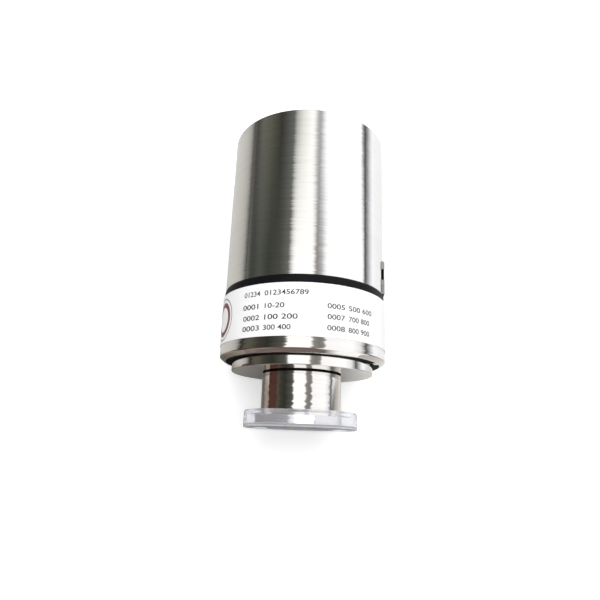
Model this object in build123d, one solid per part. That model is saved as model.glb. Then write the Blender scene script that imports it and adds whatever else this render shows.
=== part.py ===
from build123d import *
import math

# A vacuum gauge with a small clamp flange, standing on its dust cap.
# Millimetres. Z runs along the gauge's axis and is zero at the flange's sealing face.
# The signal socket faces +X.

# Flange and neck
FLANGE_OD = 40.0
FLANGE_RIM = 3.0
FLANGE_TAPER_DEG = 15.0
NECK_LENGTH = 18.9
NECK_STEP = 1.1
NECK_SPIGOT_WALL = 1.05
NECK_SPIGOT_RISE = 1.0
NECK_GROOVE_WIDTH = 0.4
NECK_GROOVE_DEPTH = 0.35
RECESS_D = 26.2
RECESS_DEPTH = 3.0
RECESS_LEDGE = 1.1
INLET_LENGTH = 3.2
BAFFLE_LEDGE = 0.8
HEADER_LEDGE = 1.5
RIM_EDGE = 0.2

# Baffle in the inlet and the ring that holds it
BAFFLE_T = 1.0
BAFFLE_HOLE_D = 4.4
BAFFLE_HOLE_PITCH = 7.2
BAFFLE_OUTER_HOLES = 6
RING_T = 0.8
RING_WIDTH = 1.4
RING_GROOVE_DEPTH = 0.6
RING_OPENING_DEG = 40.0

# Sensor header, its pins, wires and shroud
HEADER_T = 2.0
PIN_D = 1.0
PIN_COUNT = 4
PIN_CIRCLE_D = 13.0
PIN_BELOW_HEADER = 11.5
PIN_ABOVE_BOARD = 1.4
SEAL_D = 2.6
WIRE_D = 0.24
SHROUD_OD = 19.6
SHROUD_WALL = 0.4
SHROUD_LENGTH = 13.8
SHROUD_SLOTS = 8
SHROUD_SLOT_WIDTH = 2.0
SHROUD_SLOT_END = 3.0

# Plate under the housing and the ring that insulates it
PLATE_OD = 53.3
PLATE_T = 3.5
PLATE_EDGE = 0.3
INSULATOR_T = 1.8
KEY_ANGLES_DEG = (-17.0, 163.0)
KEY_WIDTH = 4.0
KEY_REACH = 1.5
KEY_T = 1.2
KEY_GAP = 0.3

# Base shell that carries the label
SHELL_OD = 62.6
SHELL_HEIGHT = 23.6
SHELL_EDGE_RADIAL = 1.8
SHELL_EDGE_HEIGHT = 1.25
SHELL_LIP_T = 0.4
SHELL_FLOOR_T = 2.0
SHELL_FLOOR_GAP = 0.5
SPIGOT_HEIGHT = 7.0
SPIGOT_WALL = 1.45

# Label and gasket band
LABEL_T = 0.18
LABEL_HEIGHT = 18.4
LABEL_TOP_MARGIN = 0.05
LABEL_SPAN_DEG = 300.0
BAND_HEIGHT = 3.05
BAND_PROUD = 0.2
BAND_BEVEL = 0.5

# Cover and its window for the socket
COVER_STEP = 0.5
COVER_WALL = 1.2
COVER_TOP_T = 1.6
COVER_LENGTH = 64.65
COVER_EDGE = 0.3
WINDOW_CORNER = 1.2
WINDOW_GAP = 0.4
WINDOW_SIDE_GAP = 0.9

# Screws: shank and head diameters and head heights
PLATE_SCREW_D = 3.0
PLATE_SCREW_HEAD_D = 5.5
PLATE_SCREW_HEAD_T = 2.0
PLATE_SCREW_COUNT = 4
PLATE_SCREW_CIRCLE_D = 43.0
PLATE_SCREW_BITE = 2.6
PLATE_SKIN = 0.6
COVER_SCREW_D = 2.0
COVER_SCREW_HEAD_D = 3.4
COVER_SCREW_ANGLES_DEG = (45.0, 135.0)
BOARD_SCREW_D = 2.4
BOARD_SCREW_HEAD_D = 4.6
BOARD_SCREW_HEAD_T = 1.7
DRIVE_DEPTH = 1.0
DRIVE_AF = 2.0
COVER_DRIVE_DEPTH = 0.6
COVER_DRIVE_AF = 1.2

# Board stack
BOARD_T = 1.6
BOARD_GAP = 0.6
BOARD_HOLE_MARGIN = 3.9
STANDOFF_AF = 5.0
STANDOFF_STUD_BITE = 4.0
STANDOFF_COUNT = 4
MIDDLE_STANDOFF_L = 21.1
UPPER_STANDOFF_L = 20.4
SENSOR_BOARD_OD = 26.0
SENSOR_BOARD_LIFT = 0.8

# Socket for an eight-way plug, in its metal shield
JACK_WIDTH = 16.0
JACK_HEIGHT = 13.0
JACK_DEPTH = 18.0
JACK_INSET = 0.05
SHIELD_T = 0.3
SHIELD_MARGIN = 0.5
SHIELD_NOTCH_LIFT = 5.6
SHIELD_NOTCH_HEIGHT = 4.3
SHIELD_NOTCH_DEPTH = 3.6
SHIELD_DOT = 0.6
SHIELD_DOT_PITCH = 1.1
SHIELD_DOTS = 3
SHIELD_POST_D = 1.5
PLUG_WIDTH = 11.8
PLUG_HEIGHT = 6.8
PLUG_DEPTH = 14.0
PLUG_LIFT = 4.2
LATCH_WIDTH = 6.2
LATCH_DROP = 2.3
CONTACT_COUNT = 8
CONTACT_PITCH = 1.02
CONTACT_D = 0.45
CONTACT_REACH = 8.0
CONTACT_DROP_DEG = 12.0

# Links between the boards
LINK_WIDTH = 10.4
LINK_DEPTH = 2.6
LINK_HEIGHT = 8.5
LINK_PINS = 4
LINK_PITCH = 2.54
LINK_PIN = 0.64
LINK_Y = 9.4
STACK_X = -17.0
STACK_PINS = 6
STACK_WIDTH = 15.6

# Parts soldered on the boards
CAPACITOR_D = 10.0
CAPACITOR_H = 12.5
CAPACITOR_SPACING = 13.0
CAPACITOR_X = 9.0
INDUCTOR_SIZE = 10.0
INDUCTOR_H = 5.0
INDUCTOR_X = -6.5
CONVERTER_WIDTH = 12.0
CONVERTER_H = 8.5
CONVERTER_MARGIN = 5.9
CONVERTER_GAP = 2.7
CONVERTER_EDGE = 1.0
PROCESSOR_SIZE = 10.0
PROCESSOR_H = 1.4
CHIP_LENGTH = 5.0
CHIP_WIDTH = 4.0
CHIP_H = 1.6
CHIP_LEGS = 4
CHIP_LEG_REACH = 1.0
CHIP_LEG_T = 0.3
DRIVER_Y = 16.5
CRYSTAL_LENGTH = 11.0
CRYSTAL_WIDTH = 4.6
CRYSTAL_H = 3.6
CRYSTAL_Y = -12.0

# Dust cap over the flange
CAP_WALL = 0.85
CAP_GAP = 0.15
CAP_END_T = 1.3
CAP_SKIRT = 4.9
CAP_LIP_T = 0.3
CAP_LIP_HEIGHT = 0.8
CAP_GROOVE_DEPTH = 0.5
CAP_RIM_WIDTH = 3.5
CAP_RIDGE_WIDTH = 2.5
CAP_GROOVE_WIDTH = 5.0
CAP_EDGE = 0.4

# Clearances between pieces that fit together
LOCATING_GAP = 0.05
SCREW_GAP = 0.2
SLIDING_GAP = 0.15
SEAL_GAP = 0.03

# Diameters and radii that follow from the sizes above
INLET_D = RECESS_D - 2 * RECESS_LEDGE
CHAMBER_D = INLET_D - 2 * BAFFLE_LEDGE
HEADER_OD = CHAMBER_D + 2 * HEADER_LEDGE
NECK_SPIGOT_OD = HEADER_OD + 2 * (LOCATING_GAP + NECK_SPIGOT_WALL)
NECK_OD = NECK_SPIGOT_OD + 2 * NECK_STEP
SHELL_FLOOR_HOLE_D = NECK_SPIGOT_OD + 2 * SHELL_FLOOR_GAP
SHELL_LIP_BORE = SHELL_OD - 2 * (SHELL_EDGE_RADIAL + SHELL_LIP_T)
COVER_OD = SHELL_OD - 2 * COVER_STEP
COVER_BORE_R = COVER_OD / 2 - COVER_WALL
SPIGOT_R = COVER_BORE_R - SLIDING_GAP
SHELL_BORE = 2 * (SPIGOT_R - SPIGOT_WALL)
BAND_OD = COVER_OD + 2 * BAND_PROUD
BOARD_OD = SHELL_BORE - 2 * BOARD_GAP
BOARD_HOLE_CIRCLE_D = BOARD_OD - 2 * BOARD_HOLE_MARGIN
CAP_OD = FLANGE_OD + 2 * (CAP_GAP + CAP_WALL)
CAP_GROOVE_OUTER_D = CAP_OD - 2 * CAP_RIM_WIDTH
CAP_GROOVE_INNER_D = CAP_GROOVE_OUTER_D - 2 * CAP_GROOVE_WIDTH
CAP_DISC_D = CAP_GROOVE_INNER_D - 2 * CAP_RIDGE_WIDTH
WINDOW_WIDTH = JACK_WIDTH + 2 * WINDOW_SIDE_GAP
JACK_FACE_X = COVER_OD / 2 - JACK_INSET
JACK_BACK_X = JACK_FACE_X - JACK_DEPTH
CONVERTER_Y = (CONVERTER_WIDTH - BOARD_OD) / 2 + CONVERTER_MARGIN

# Heights that follow from the sizes above
PLATE_Z = NECK_LENGTH
PLATE_TOP_Z = PLATE_Z + PLATE_T
NECK_TOP_Z = PLATE_TOP_Z + NECK_SPIGOT_RISE
HEADER_Z = NECK_TOP_Z - HEADER_T
FLOOR_Z = PLATE_TOP_Z + INSULATOR_T
FLOOR_TOP_Z = FLOOR_Z + SHELL_FLOOR_T
SHOULDER_Z = PLATE_TOP_Z + SHELL_HEIGHT
SPIGOT_TOP_Z = SHOULDER_Z + SPIGOT_HEIGHT
BAND_TOP_Z = SHOULDER_Z + BAND_HEIGHT
COVER_TOP_Z = BAND_TOP_Z + COVER_LENGTH
SENSOR_BOARD_Z = FLOOR_TOP_Z + SENSOR_BOARD_LIFT
SENSOR_BOARD_TOP_Z = SENSOR_BOARD_Z + BOARD_T
MAIN_BOARD_TOP_Z = BAND_TOP_Z + SLIDING_GAP
MAIN_BOARD_Z = MAIN_BOARD_TOP_Z - BOARD_T
LOWER_STANDOFF_L = MAIN_BOARD_Z - FLOOR_TOP_Z
POWER_BOARD_Z = MAIN_BOARD_TOP_Z + MIDDLE_STANDOFF_L
POWER_BOARD_TOP_Z = POWER_BOARD_Z + BOARD_T
CONTROL_BOARD_Z = POWER_BOARD_TOP_Z + UPPER_STANDOFF_L
CONTROL_BOARD_TOP_Z = CONTROL_BOARD_Z + BOARD_T
JACK_TOP_Z = MAIN_BOARD_TOP_Z + JACK_HEIGHT
PLUG_Z = MAIN_BOARD_TOP_Z + PLUG_LIFT
BAFFLE_TOP_Z = RECESS_DEPTH + INLET_LENGTH
RING_TOP_Z = BAFFLE_TOP_Z - BAFFLE_T

# Angles of the pins, pillars and screws about the axis, from the socket
PIN_ANGLES_DEG = [45.0 + 360.0 / PIN_COUNT * i for i in range(PIN_COUNT)]
STANDOFF_ANGLES_DEG = [45.0 + 360.0 / STANDOFF_COUNT * i for i in range(STANDOFF_COUNT)]
PLATE_SCREW_ANGLES_DEG = [360.0 / PLATE_SCREW_COUNT * i for i in range(PLATE_SCREW_COUNT)]
PILLAR_X = BOARD_HOLE_CIRCLE_D / 2 * math.cos(math.radians(STANDOFF_ANGLES_DEG[0]))
CONVERTER_LENGTH = 2 * (PILLAR_X - STANDOFF_AF / math.sqrt(3) - CONVERTER_GAP)


def turned(outline):
    """Turn an outline of (radius, height) points about the gauge's axis."""
    edge = Polyline([(radius, 0, height) for radius, height in outline], close=True)
    return revolve(make_face(edge), Axis.Z)


def rod(diameter, low, high):
    """A round bar on the gauge's axis between two heights."""
    return Pos(0, 0, low) * extrude(Circle(diameter / 2), high - low)


def tube(outer, inner, low, high):
    """A round tube on the gauge's axis between two heights."""
    return rod(outer, low, high) - rod(inner, low - 1, high + 1)


def block(x_low, x_high, y_low, y_high, z_low, z_high):
    """A square block given by its limits."""
    centre = Pos((x_low + x_high) / 2, (y_low + y_high) / 2, (z_low + z_high) / 2)
    return centre * Box(x_high - x_low, y_high - y_low, z_high - z_low)


def around(radius, angles_deg):
    """Places on a circle about the gauge's axis, each turned to face outwards."""
    return [Rot(0, 0, angle) * Pos(radius, 0, 0) for angle in angles_deg]


def copies(piece, places):
    """The same piece at each of the places."""
    return [place * piece for place in places]


def cut(solid, tools):
    """Cut a list of tools out of a solid."""
    for tool in tools:
        solid = solid - tool
    return solid


def save(name, shape):
    """Write one piece, or one group of like pieces, as parts/NAME.step."""
    solids = []
    for item in shape if isinstance(shape, list) else [shape]:
        solids.extend(item.solids())
    body = solids[0] if len(solids) == 1 else Compound(children=solids)
    body.label = name
    export_step(body, f"parts/{name}.step")


def flange_neck():
    """The flange, its taper and the neck, turned from one bar, with a stepped bore."""
    rim_r = FLANGE_OD / 2
    neck_r = NECK_OD / 2
    taper_rise = (rim_r - neck_r) * math.tan(math.radians(FLANGE_TAPER_DEG))
    groove_z = NECK_LENGTH - NECK_GROOVE_WIDTH
    header_r = HEADER_OD / 2 + LOCATING_GAP
    inlet_r = INLET_D / 2
    groove_low = RING_TOP_Z - RING_T - 2 * LOCATING_GAP
    outline = [
        (RECESS_D / 2, 0),
        (rim_r - RIM_EDGE, 0),
        (rim_r, RIM_EDGE),
        (rim_r, FLANGE_RIM),
        (neck_r, FLANGE_RIM + taper_rise),
        (neck_r, groove_z),
        (neck_r - NECK_GROOVE_DEPTH, groove_z),
        (neck_r - NECK_GROOVE_DEPTH, NECK_LENGTH),
        (NECK_SPIGOT_OD / 2, NECK_LENGTH),
        (NECK_SPIGOT_OD / 2, NECK_TOP_Z),
        (header_r, NECK_TOP_Z),
        (header_r, HEADER_Z),
        (CHAMBER_D / 2, HEADER_Z),
        (CHAMBER_D / 2, BAFFLE_TOP_Z),
        (inlet_r, BAFFLE_TOP_Z),
        (inlet_r, RING_TOP_Z),
        (inlet_r + RING_GROOVE_DEPTH, RING_TOP_Z),
        (inlet_r + RING_GROOVE_DEPTH, groove_low),
        (inlet_r, groove_low),
        (inlet_r, RECESS_DEPTH),
        (RECESS_D / 2, RECESS_DEPTH),
    ]
    return turned(outline)


def inlet_baffle():
    """The drilled disc that keeps dirt out of the sensor, seated on the bore's step."""
    disc = rod(INLET_D - 2 * LOCATING_GAP, RING_TOP_Z, BAFFLE_TOP_Z)
    drill = rod(BAFFLE_HOLE_D, RING_TOP_Z - 1, BAFFLE_TOP_Z + 1)
    angles = [360.0 / BAFFLE_OUTER_HOLES * i for i in range(BAFFLE_OUTER_HOLES)]
    return cut(disc, [drill] + copies(drill, around(BAFFLE_HOLE_PITCH, angles)))


def retaining_ring():
    """The open spring ring in the groove under the baffle."""
    outer_r = INLET_D / 2 + RING_GROOVE_DEPTH - LOCATING_GAP
    low = RING_TOP_Z - RING_T - LOCATING_GAP
    ring = tube(2 * outer_r, 2 * (outer_r - RING_WIDTH), low, RING_TOP_Z - LOCATING_GAP)
    reach = 2 * outer_r
    half_gap = math.radians(RING_OPENING_DEG / 2)
    corner = (reach * math.cos(half_gap), reach * math.sin(half_gap))
    wedge = make_face(Polyline([(0, 0), corner, (corner[0], -corner[1])], close=True))
    return ring - Pos(0, 0, low - 1) * extrude(wedge, RING_T + 2)


def sensor_header():
    """The metal disc that closes the chamber, bored for the glass seals."""
    disc = rod(HEADER_OD, HEADER_Z, NECK_TOP_Z)
    drill = rod(SEAL_D, HEADER_Z - 1, NECK_TOP_Z + 1)
    return cut(disc, copies(drill, around(PIN_CIRCLE_D / 2, PIN_ANGLES_DEG)))


def glass_seals():
    """The glass beads that hold the pins in the header."""
    bead = tube(SEAL_D - 2 * SEAL_GAP, PIN_D + 2 * SEAL_GAP, HEADER_Z, NECK_TOP_Z)
    return copies(bead, around(PIN_CIRCLE_D / 2, PIN_ANGLES_DEG))


def feedthrough_pins():
    """The pins that carry the sensor wires and pass up to the sensor board."""
    pin = rod(PIN_D, HEADER_Z - PIN_BELOW_HEADER, SENSOR_BOARD_TOP_Z + PIN_ABOVE_BOARD)
    return copies(pin, around(PIN_CIRCLE_D / 2, PIN_ANGLES_DEG))


def sensor_wires():
    """The heated wire and the reference wire, each strung between two pins."""
    half_span = PIN_CIRCLE_D / 2 * math.sin(math.radians(PIN_ANGLES_DEG[0]))
    half_length = half_span - PIN_D / 2 - SEAL_GAP
    height = HEADER_Z - PIN_BELOW_HEADER + PIN_D
    wire = Rot(0, 90, 0) * extrude(Circle(WIRE_D / 2), half_length, both=True)
    return [Pos(0, half_span, height) * wire, Pos(0, -half_span, height) * wire]


def sensor_shroud():
    """The thin slotted sleeve round the wires, spot welded to the header."""
    low = HEADER_Z - SHROUD_LENGTH
    sleeve = tube(SHROUD_OD, SHROUD_OD - 2 * SHROUD_WALL, low, HEADER_Z)
    slot_length = SHROUD_LENGTH - 2 * SHROUD_SLOT_END
    slot = Pos(0, 0, low + SHROUD_LENGTH / 2) * Box(SHROUD_OD / 4, SHROUD_SLOT_WIDTH, slot_length)
    angles = [360.0 / SHROUD_SLOTS * i for i in range(SHROUD_SLOTS)]
    return cut(sleeve, copies(slot, around(SHROUD_OD / 2, angles)))


def mounting_plate():
    """The polished disc that seats on the neck, tapped from above."""
    hole_r = NECK_SPIGOT_OD / 2 + LOCATING_GAP
    outer_r = PLATE_OD / 2
    outline = [
        (hole_r, PLATE_Z),
        (outer_r - PLATE_EDGE, PLATE_Z),
        (outer_r, PLATE_Z + PLATE_EDGE),
        (outer_r, PLATE_TOP_Z),
        (hole_r, PLATE_TOP_Z),
    ]
    tapped = rod(PLATE_SCREW_D + 2 * LOCATING_GAP, PLATE_Z + PLATE_SKIN, PLATE_TOP_Z + 1)
    places = around(PLATE_SCREW_CIRCLE_D / 2, PLATE_SCREW_ANGLES_DEG)
    return cut(turned(outline), copies(tapped, places))


def insulator_ring():
    """The plastic ring between the plate and the shell, notched for the shell's keys."""
    outer_r = SHELL_LIP_BORE / 2 - SLIDING_GAP
    ring = tube(2 * outer_r, SHELL_FLOOR_HOLE_D, PLATE_TOP_Z, FLOOR_Z)
    notch = block(
        SHELL_LIP_BORE / 2 - KEY_REACH - KEY_GAP, outer_r + 1,
        -KEY_WIDTH / 2 - KEY_GAP, KEY_WIDTH / 2 + KEY_GAP,
        PLATE_TOP_Z - 1, FLOOR_Z + 1,
    )
    turns = [Rot(0, 0, angle) for angle in KEY_ANGLES_DEG]
    drill = rod(PLATE_SCREW_D + 2 * SCREW_GAP, PLATE_TOP_Z - 1, FLOOR_Z + 1)
    places = around(PLATE_SCREW_CIRCLE_D / 2, PLATE_SCREW_ANGLES_DEG)
    return cut(ring, copies(notch, turns) + copies(drill, places))


def base_shell():
    """The turned steel shell: an angled lower edge, a floor inside and a spigot on top."""
    outer_r = SHELL_OD / 2
    bore_r = SHELL_BORE / 2
    outline = [
        (SHELL_LIP_BORE / 2, PLATE_TOP_Z),
        (outer_r - SHELL_EDGE_RADIAL, PLATE_TOP_Z),
        (outer_r, PLATE_TOP_Z + SHELL_EDGE_HEIGHT),
        (outer_r, SHOULDER_Z),
        (SPIGOT_R, SHOULDER_Z),
        (SPIGOT_R, SPIGOT_TOP_Z),
        (bore_r, SPIGOT_TOP_Z),
        (bore_r, FLOOR_TOP_Z),
        (SHELL_FLOOR_HOLE_D / 2, FLOOR_TOP_Z),
        (SHELL_FLOOR_HOLE_D / 2, FLOOR_Z),
        (SHELL_LIP_BORE / 2, FLOOR_Z),
    ]
    window = block(
        0, SHELL_OD,
        -WINDOW_WIDTH / 2, WINDOW_WIDTH / 2,
        MAIN_BOARD_TOP_Z - WINDOW_GAP, SPIGOT_TOP_Z + 1,
    )
    clear_drill = rod(PLATE_SCREW_D + 2 * SCREW_GAP, FLOOR_Z - 1, FLOOR_TOP_Z + 1)
    stud_drill = rod(BOARD_SCREW_D + 2 * LOCATING_GAP, FLOOR_Z - 1, FLOOR_TOP_Z + 1)
    tools = [window]
    tools += copies(clear_drill, around(PLATE_SCREW_CIRCLE_D / 2, PLATE_SCREW_ANGLES_DEG))
    tools += copies(stud_drill, around(BOARD_HOLE_CIRCLE_D / 2, STANDOFF_ANGLES_DEG))
    tools += cover_screw_bores(COVER_SCREW_D + 2 * LOCATING_GAP)
    shell = turned(outline)
    for angle in KEY_ANGLES_DEG:
        shell = shell + Rot(0, 0, angle) * shell_key()
    return cut(shell, tools)


def shell_key():
    """The small key that points inwards from the shell's lower lip."""
    lip_r = SHELL_LIP_BORE / 2
    half = KEY_WIDTH / 2
    return block(
        lip_r - KEY_REACH, lip_r + SHELL_LIP_T / 2, -half, half,
        PLATE_TOP_Z, PLATE_TOP_Z + KEY_T,
    )


def cover_screw_places():
    """Where the cover screws sit on the cover's wall, local Z pointing outwards."""
    height = (BAND_TOP_Z + SPIGOT_TOP_Z) / 2
    places = []
    for angle in COVER_SCREW_ANGLES_DEG:
        places.append(Rot(0, 0, angle) * Pos(COVER_OD / 2, 0, height) * Rot(0, 90, 0))
    return places


def cover_screw_bores(diameter):
    """Straight drillings through the cover and the spigot at each cover screw."""
    reach = COVER_OD / 2 - SHELL_BORE / 2 + 1
    drill = Pos(0, 0, -reach) * extrude(Circle(diameter / 2), reach + 1)
    return copies(drill, cover_screw_places())


def cover_screws():
    """The two flush screws behind the socket that hold the cover on the spigot."""
    head_r = COVER_SCREW_HEAD_D / 2
    shank_r = COVER_SCREW_D / 2
    length = COVER_OD / 2 - SHELL_BORE / 2
    outline = [
        (0, -SLIDING_GAP),
        (head_r - SLIDING_GAP, -SLIDING_GAP),
        (shank_r, shank_r - head_r),
        (shank_r, -length),
        (0, -length),
    ]
    drive = Pos(0, 0, -COVER_DRIVE_DEPTH - SLIDING_GAP) * hexagon(COVER_DRIVE_AF, COVER_DRIVE_DEPTH + 1)
    return copies(turned(outline) - drive, cover_screw_places())


def hexagon(across_flats, height):
    """A six-sided bar."""
    return extrude(RegularPolygon(across_flats / math.sqrt(3), 6), height)


def cap_screw(shank_d, shank_l, head_d, head_t):
    """A round-headed screw with its seat at height zero and a six-sided drive."""
    screw = rod(shank_d, -shank_l, 0) + rod(head_d, 0, head_t)
    return screw - Pos(0, 0, head_t - DRIVE_DEPTH) * hexagon(DRIVE_AF, DRIVE_DEPTH + 1)


def plate_screws():
    """The screws down through the shell's floor into the plate."""
    length = FLOOR_TOP_Z - PLATE_TOP_Z + PLATE_SCREW_BITE
    screw = cap_screw(PLATE_SCREW_D, length, PLATE_SCREW_HEAD_D, PLATE_SCREW_HEAD_T)
    places = around(PLATE_SCREW_CIRCLE_D / 2, PLATE_SCREW_ANGLES_DEG)
    return copies(Pos(0, 0, FLOOR_TOP_Z) * screw, places)


def rating_label():
    """The printed film wrapped round the shell, with its gap at the back."""
    inner_r = SHELL_OD / 2 + SEAL_GAP
    top = SHOULDER_Z - LABEL_TOP_MARGIN
    corners = [
        (inner_r, 0, top - LABEL_HEIGHT),
        (inner_r + LABEL_T, 0, top - LABEL_HEIGHT),
        (inner_r + LABEL_T, 0, top),
        (inner_r, 0, top),
    ]
    section = make_face(Polyline(corners, close=True))
    film = revolve(section, Axis.Z, revolution_arc=LABEL_SPAN_DEG)
    half_gap = (360.0 - LABEL_SPAN_DEG) / 2
    return Rot(0, 0, 90 + half_gap) * film


def gasket_band():
    """The rubber band between the shell's shoulder and the cover, bevelled outside."""
    inner_r = SPIGOT_R + LOCATING_GAP
    outer_r = BAND_OD / 2
    outline = [
        (inner_r, SHOULDER_Z),
        (outer_r - BAND_BEVEL, SHOULDER_Z),
        (outer_r, SHOULDER_Z + BAND_BEVEL),
        (outer_r, BAND_TOP_Z - BAND_BEVEL),
        (outer_r - BAND_BEVEL, BAND_TOP_Z),
        (inner_r, BAND_TOP_Z),
    ]
    return turned(outline)


def cover_shell():
    """The drawn steel cup over the boards, with its window for the socket."""
    outer_r = COVER_OD / 2
    ceiling = COVER_TOP_Z - COVER_TOP_T
    outline = [
        (COVER_BORE_R, BAND_TOP_Z),
        (outer_r, BAND_TOP_Z),
        (outer_r, COVER_TOP_Z - COVER_EDGE),
        (outer_r - COVER_EDGE, COVER_TOP_Z),
        (0, COVER_TOP_Z),
        (0, ceiling),
        (COVER_BORE_R, ceiling),
    ]
    window_low = BAND_TOP_Z - WINDOW_CORNER - 1
    window_high = JACK_TOP_Z + WINDOW_GAP
    window_height = window_high - window_low
    window_face = Plane.YZ * RectangleRounded(WINDOW_WIDTH, window_height, WINDOW_CORNER)
    window = Pos(0, 0, (window_low + window_high) / 2) * extrude(window_face, COVER_OD)
    head_r = COVER_SCREW_HEAD_D / 2 + LOCATING_GAP
    sink = turned([(0, 1), (head_r + 1, 1), (0, -head_r)])
    tools = [window]
    tools += cover_screw_bores(COVER_SCREW_D + 2 * LOCATING_GAP)
    tools += copies(sink, cover_screw_places())
    return cut(turned(outline), tools)


def round_board(diameter, low):
    """A plain round circuit board."""
    return rod(diameter, low, low + BOARD_T)


def stack_board(low):
    """A round board with clearance holes for the pillars' studs."""
    drill = rod(BOARD_SCREW_D + 2 * SLIDING_GAP, low - 1, low + BOARD_T + 1)
    places = around(BOARD_HOLE_CIRCLE_D / 2, STANDOFF_ANGLES_DEG)
    return cut(round_board(BOARD_OD, low), copies(drill, places))


def standoffs(low, length, stud):
    """Six-sided pillars with a stud below and a tapped hole on top."""
    tapped_r = BOARD_SCREW_D / 2 + LOCATING_GAP
    depth = STANDOFF_STUD_BITE + 1
    pillar = Pos(0, 0, low) * hexagon(STANDOFF_AF, length)
    pillar = pillar - rod(2 * tapped_r, low + length - depth, low + length + 1)
    pillar = pillar + rod(BOARD_SCREW_D, low - stud, low)
    return copies(pillar, around(BOARD_HOLE_CIRCLE_D / 2, STANDOFF_ANGLES_DEG))


def board_screws():
    """The screws that hold the top board on its pillars."""
    length = BOARD_T + STANDOFF_STUD_BITE
    screw = cap_screw(BOARD_SCREW_D, length, BOARD_SCREW_HEAD_D, BOARD_SCREW_HEAD_T)
    places = around(BOARD_HOLE_CIRCLE_D / 2, STANDOFF_ANGLES_DEG)
    return copies(Pos(0, 0, CONTROL_BOARD_TOP_Z) * screw, places)


def link_pin_places():
    """Where the pins stand that join the sensor board to the main board."""
    first = -(LINK_PINS - 1) / 2 * LINK_PITCH
    return [Pos(first + LINK_PITCH * i, LINK_Y, 0) for i in range(LINK_PINS)]


def square_pin(side, low, high):
    """A square pin on the axis between two heights."""
    return block(-side / 2, side / 2, -side / 2, side / 2, low, high)


def sensor_board():
    """The small board soldered on the feedthrough pins."""
    board = round_board(SENSOR_BOARD_OD, SENSOR_BOARD_Z)
    drill = rod(PIN_D + 2 * SLIDING_GAP, SENSOR_BOARD_Z - 1, SENSOR_BOARD_TOP_Z + 1)
    return cut(board, copies(drill, around(PIN_CIRCLE_D / 2, PIN_ANGLES_DEG)))


def link_socket():
    """The plastic socket on the sensor board."""
    half = LINK_WIDTH / 2
    body = block(
        -half, half, LINK_Y - LINK_DEPTH / 2, LINK_Y + LINK_DEPTH / 2,
        SENSOR_BOARD_TOP_Z, SENSOR_BOARD_TOP_Z + LINK_HEIGHT,
    )
    side = LINK_PIN + 2 * SLIDING_GAP
    floor = SENSOR_BOARD_TOP_Z + LINK_HEIGHT / 2
    slot = square_pin(side, floor, SENSOR_BOARD_TOP_Z + LINK_HEIGHT + 1)
    return cut(body, copies(slot, link_pin_places()))


def link_pins():
    """The long pins from the socket up through the main board."""
    low = SENSOR_BOARD_TOP_Z + LINK_HEIGHT / 2
    pin = square_pin(LINK_PIN, low, MAIN_BOARD_TOP_Z + LINK_PIN)
    return copies(pin, link_pin_places())


def main_board():
    """The lowest board of the stack, drilled for the link pins and the shield's posts."""
    side = LINK_PIN + 2 * SLIDING_GAP
    slot = square_pin(side, MAIN_BOARD_Z - 1, MAIN_BOARD_TOP_Z + 1)
    post = rod(SHIELD_POST_D + 2 * SLIDING_GAP, MAIN_BOARD_Z - 1, MAIN_BOARD_TOP_Z + 1)
    tools = copies(slot, link_pin_places()) + copies(post, shield_post_places())
    return cut(stack_board(MAIN_BOARD_Z), tools)


def shield_post_places():
    """Where the shield's two posts go down through the main board."""
    x = JACK_FACE_X - JACK_DEPTH / 2
    y = JACK_WIDTH / 2 - SHIELD_POST_D
    return [Pos(x, y, 0), Pos(x, -y, 0)]


def jack_housing():
    """The moulded socket body: a plug cavity, its latch slot and a comb for the contacts."""
    wall = SHIELD_T + LOCATING_GAP
    half = JACK_WIDTH / 2 - wall
    body = block(
        JACK_BACK_X + wall, JACK_FACE_X - wall, -half, half,
        MAIN_BOARD_TOP_Z + SHIELD_T, JACK_TOP_Z - wall,
    )
    plug = block(
        JACK_FACE_X - PLUG_DEPTH, JACK_FACE_X, -PLUG_WIDTH / 2, PLUG_WIDTH / 2,
        PLUG_Z, PLUG_Z + PLUG_HEIGHT,
    )
    latch = block(
        JACK_FACE_X - PLUG_DEPTH, JACK_FACE_X, -LATCH_WIDTH / 2, LATCH_WIDTH / 2,
        PLUG_Z - LATCH_DROP, PLUG_Z + 1,
    )
    return cut(body, [plug, latch])


def jack_contacts():
    """The spring contacts that slope down from the cavity's roof at the back."""
    root_x = JACK_FACE_X - PLUG_DEPTH + CONTACT_D
    root_z = PLUG_Z + PLUG_HEIGHT - CONTACT_D
    bar = Rot(0, 90, 0) * extrude(Circle(CONTACT_D / 2), CONTACT_REACH)
    bar = Rot(0, CONTACT_DROP_DEG, 0) * bar
    first = -(CONTACT_COUNT - 1) / 2 * CONTACT_PITCH
    places = [Pos(root_x, first + CONTACT_PITCH * i, root_z) for i in range(CONTACT_COUNT)]
    return copies(bar, places)


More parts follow.
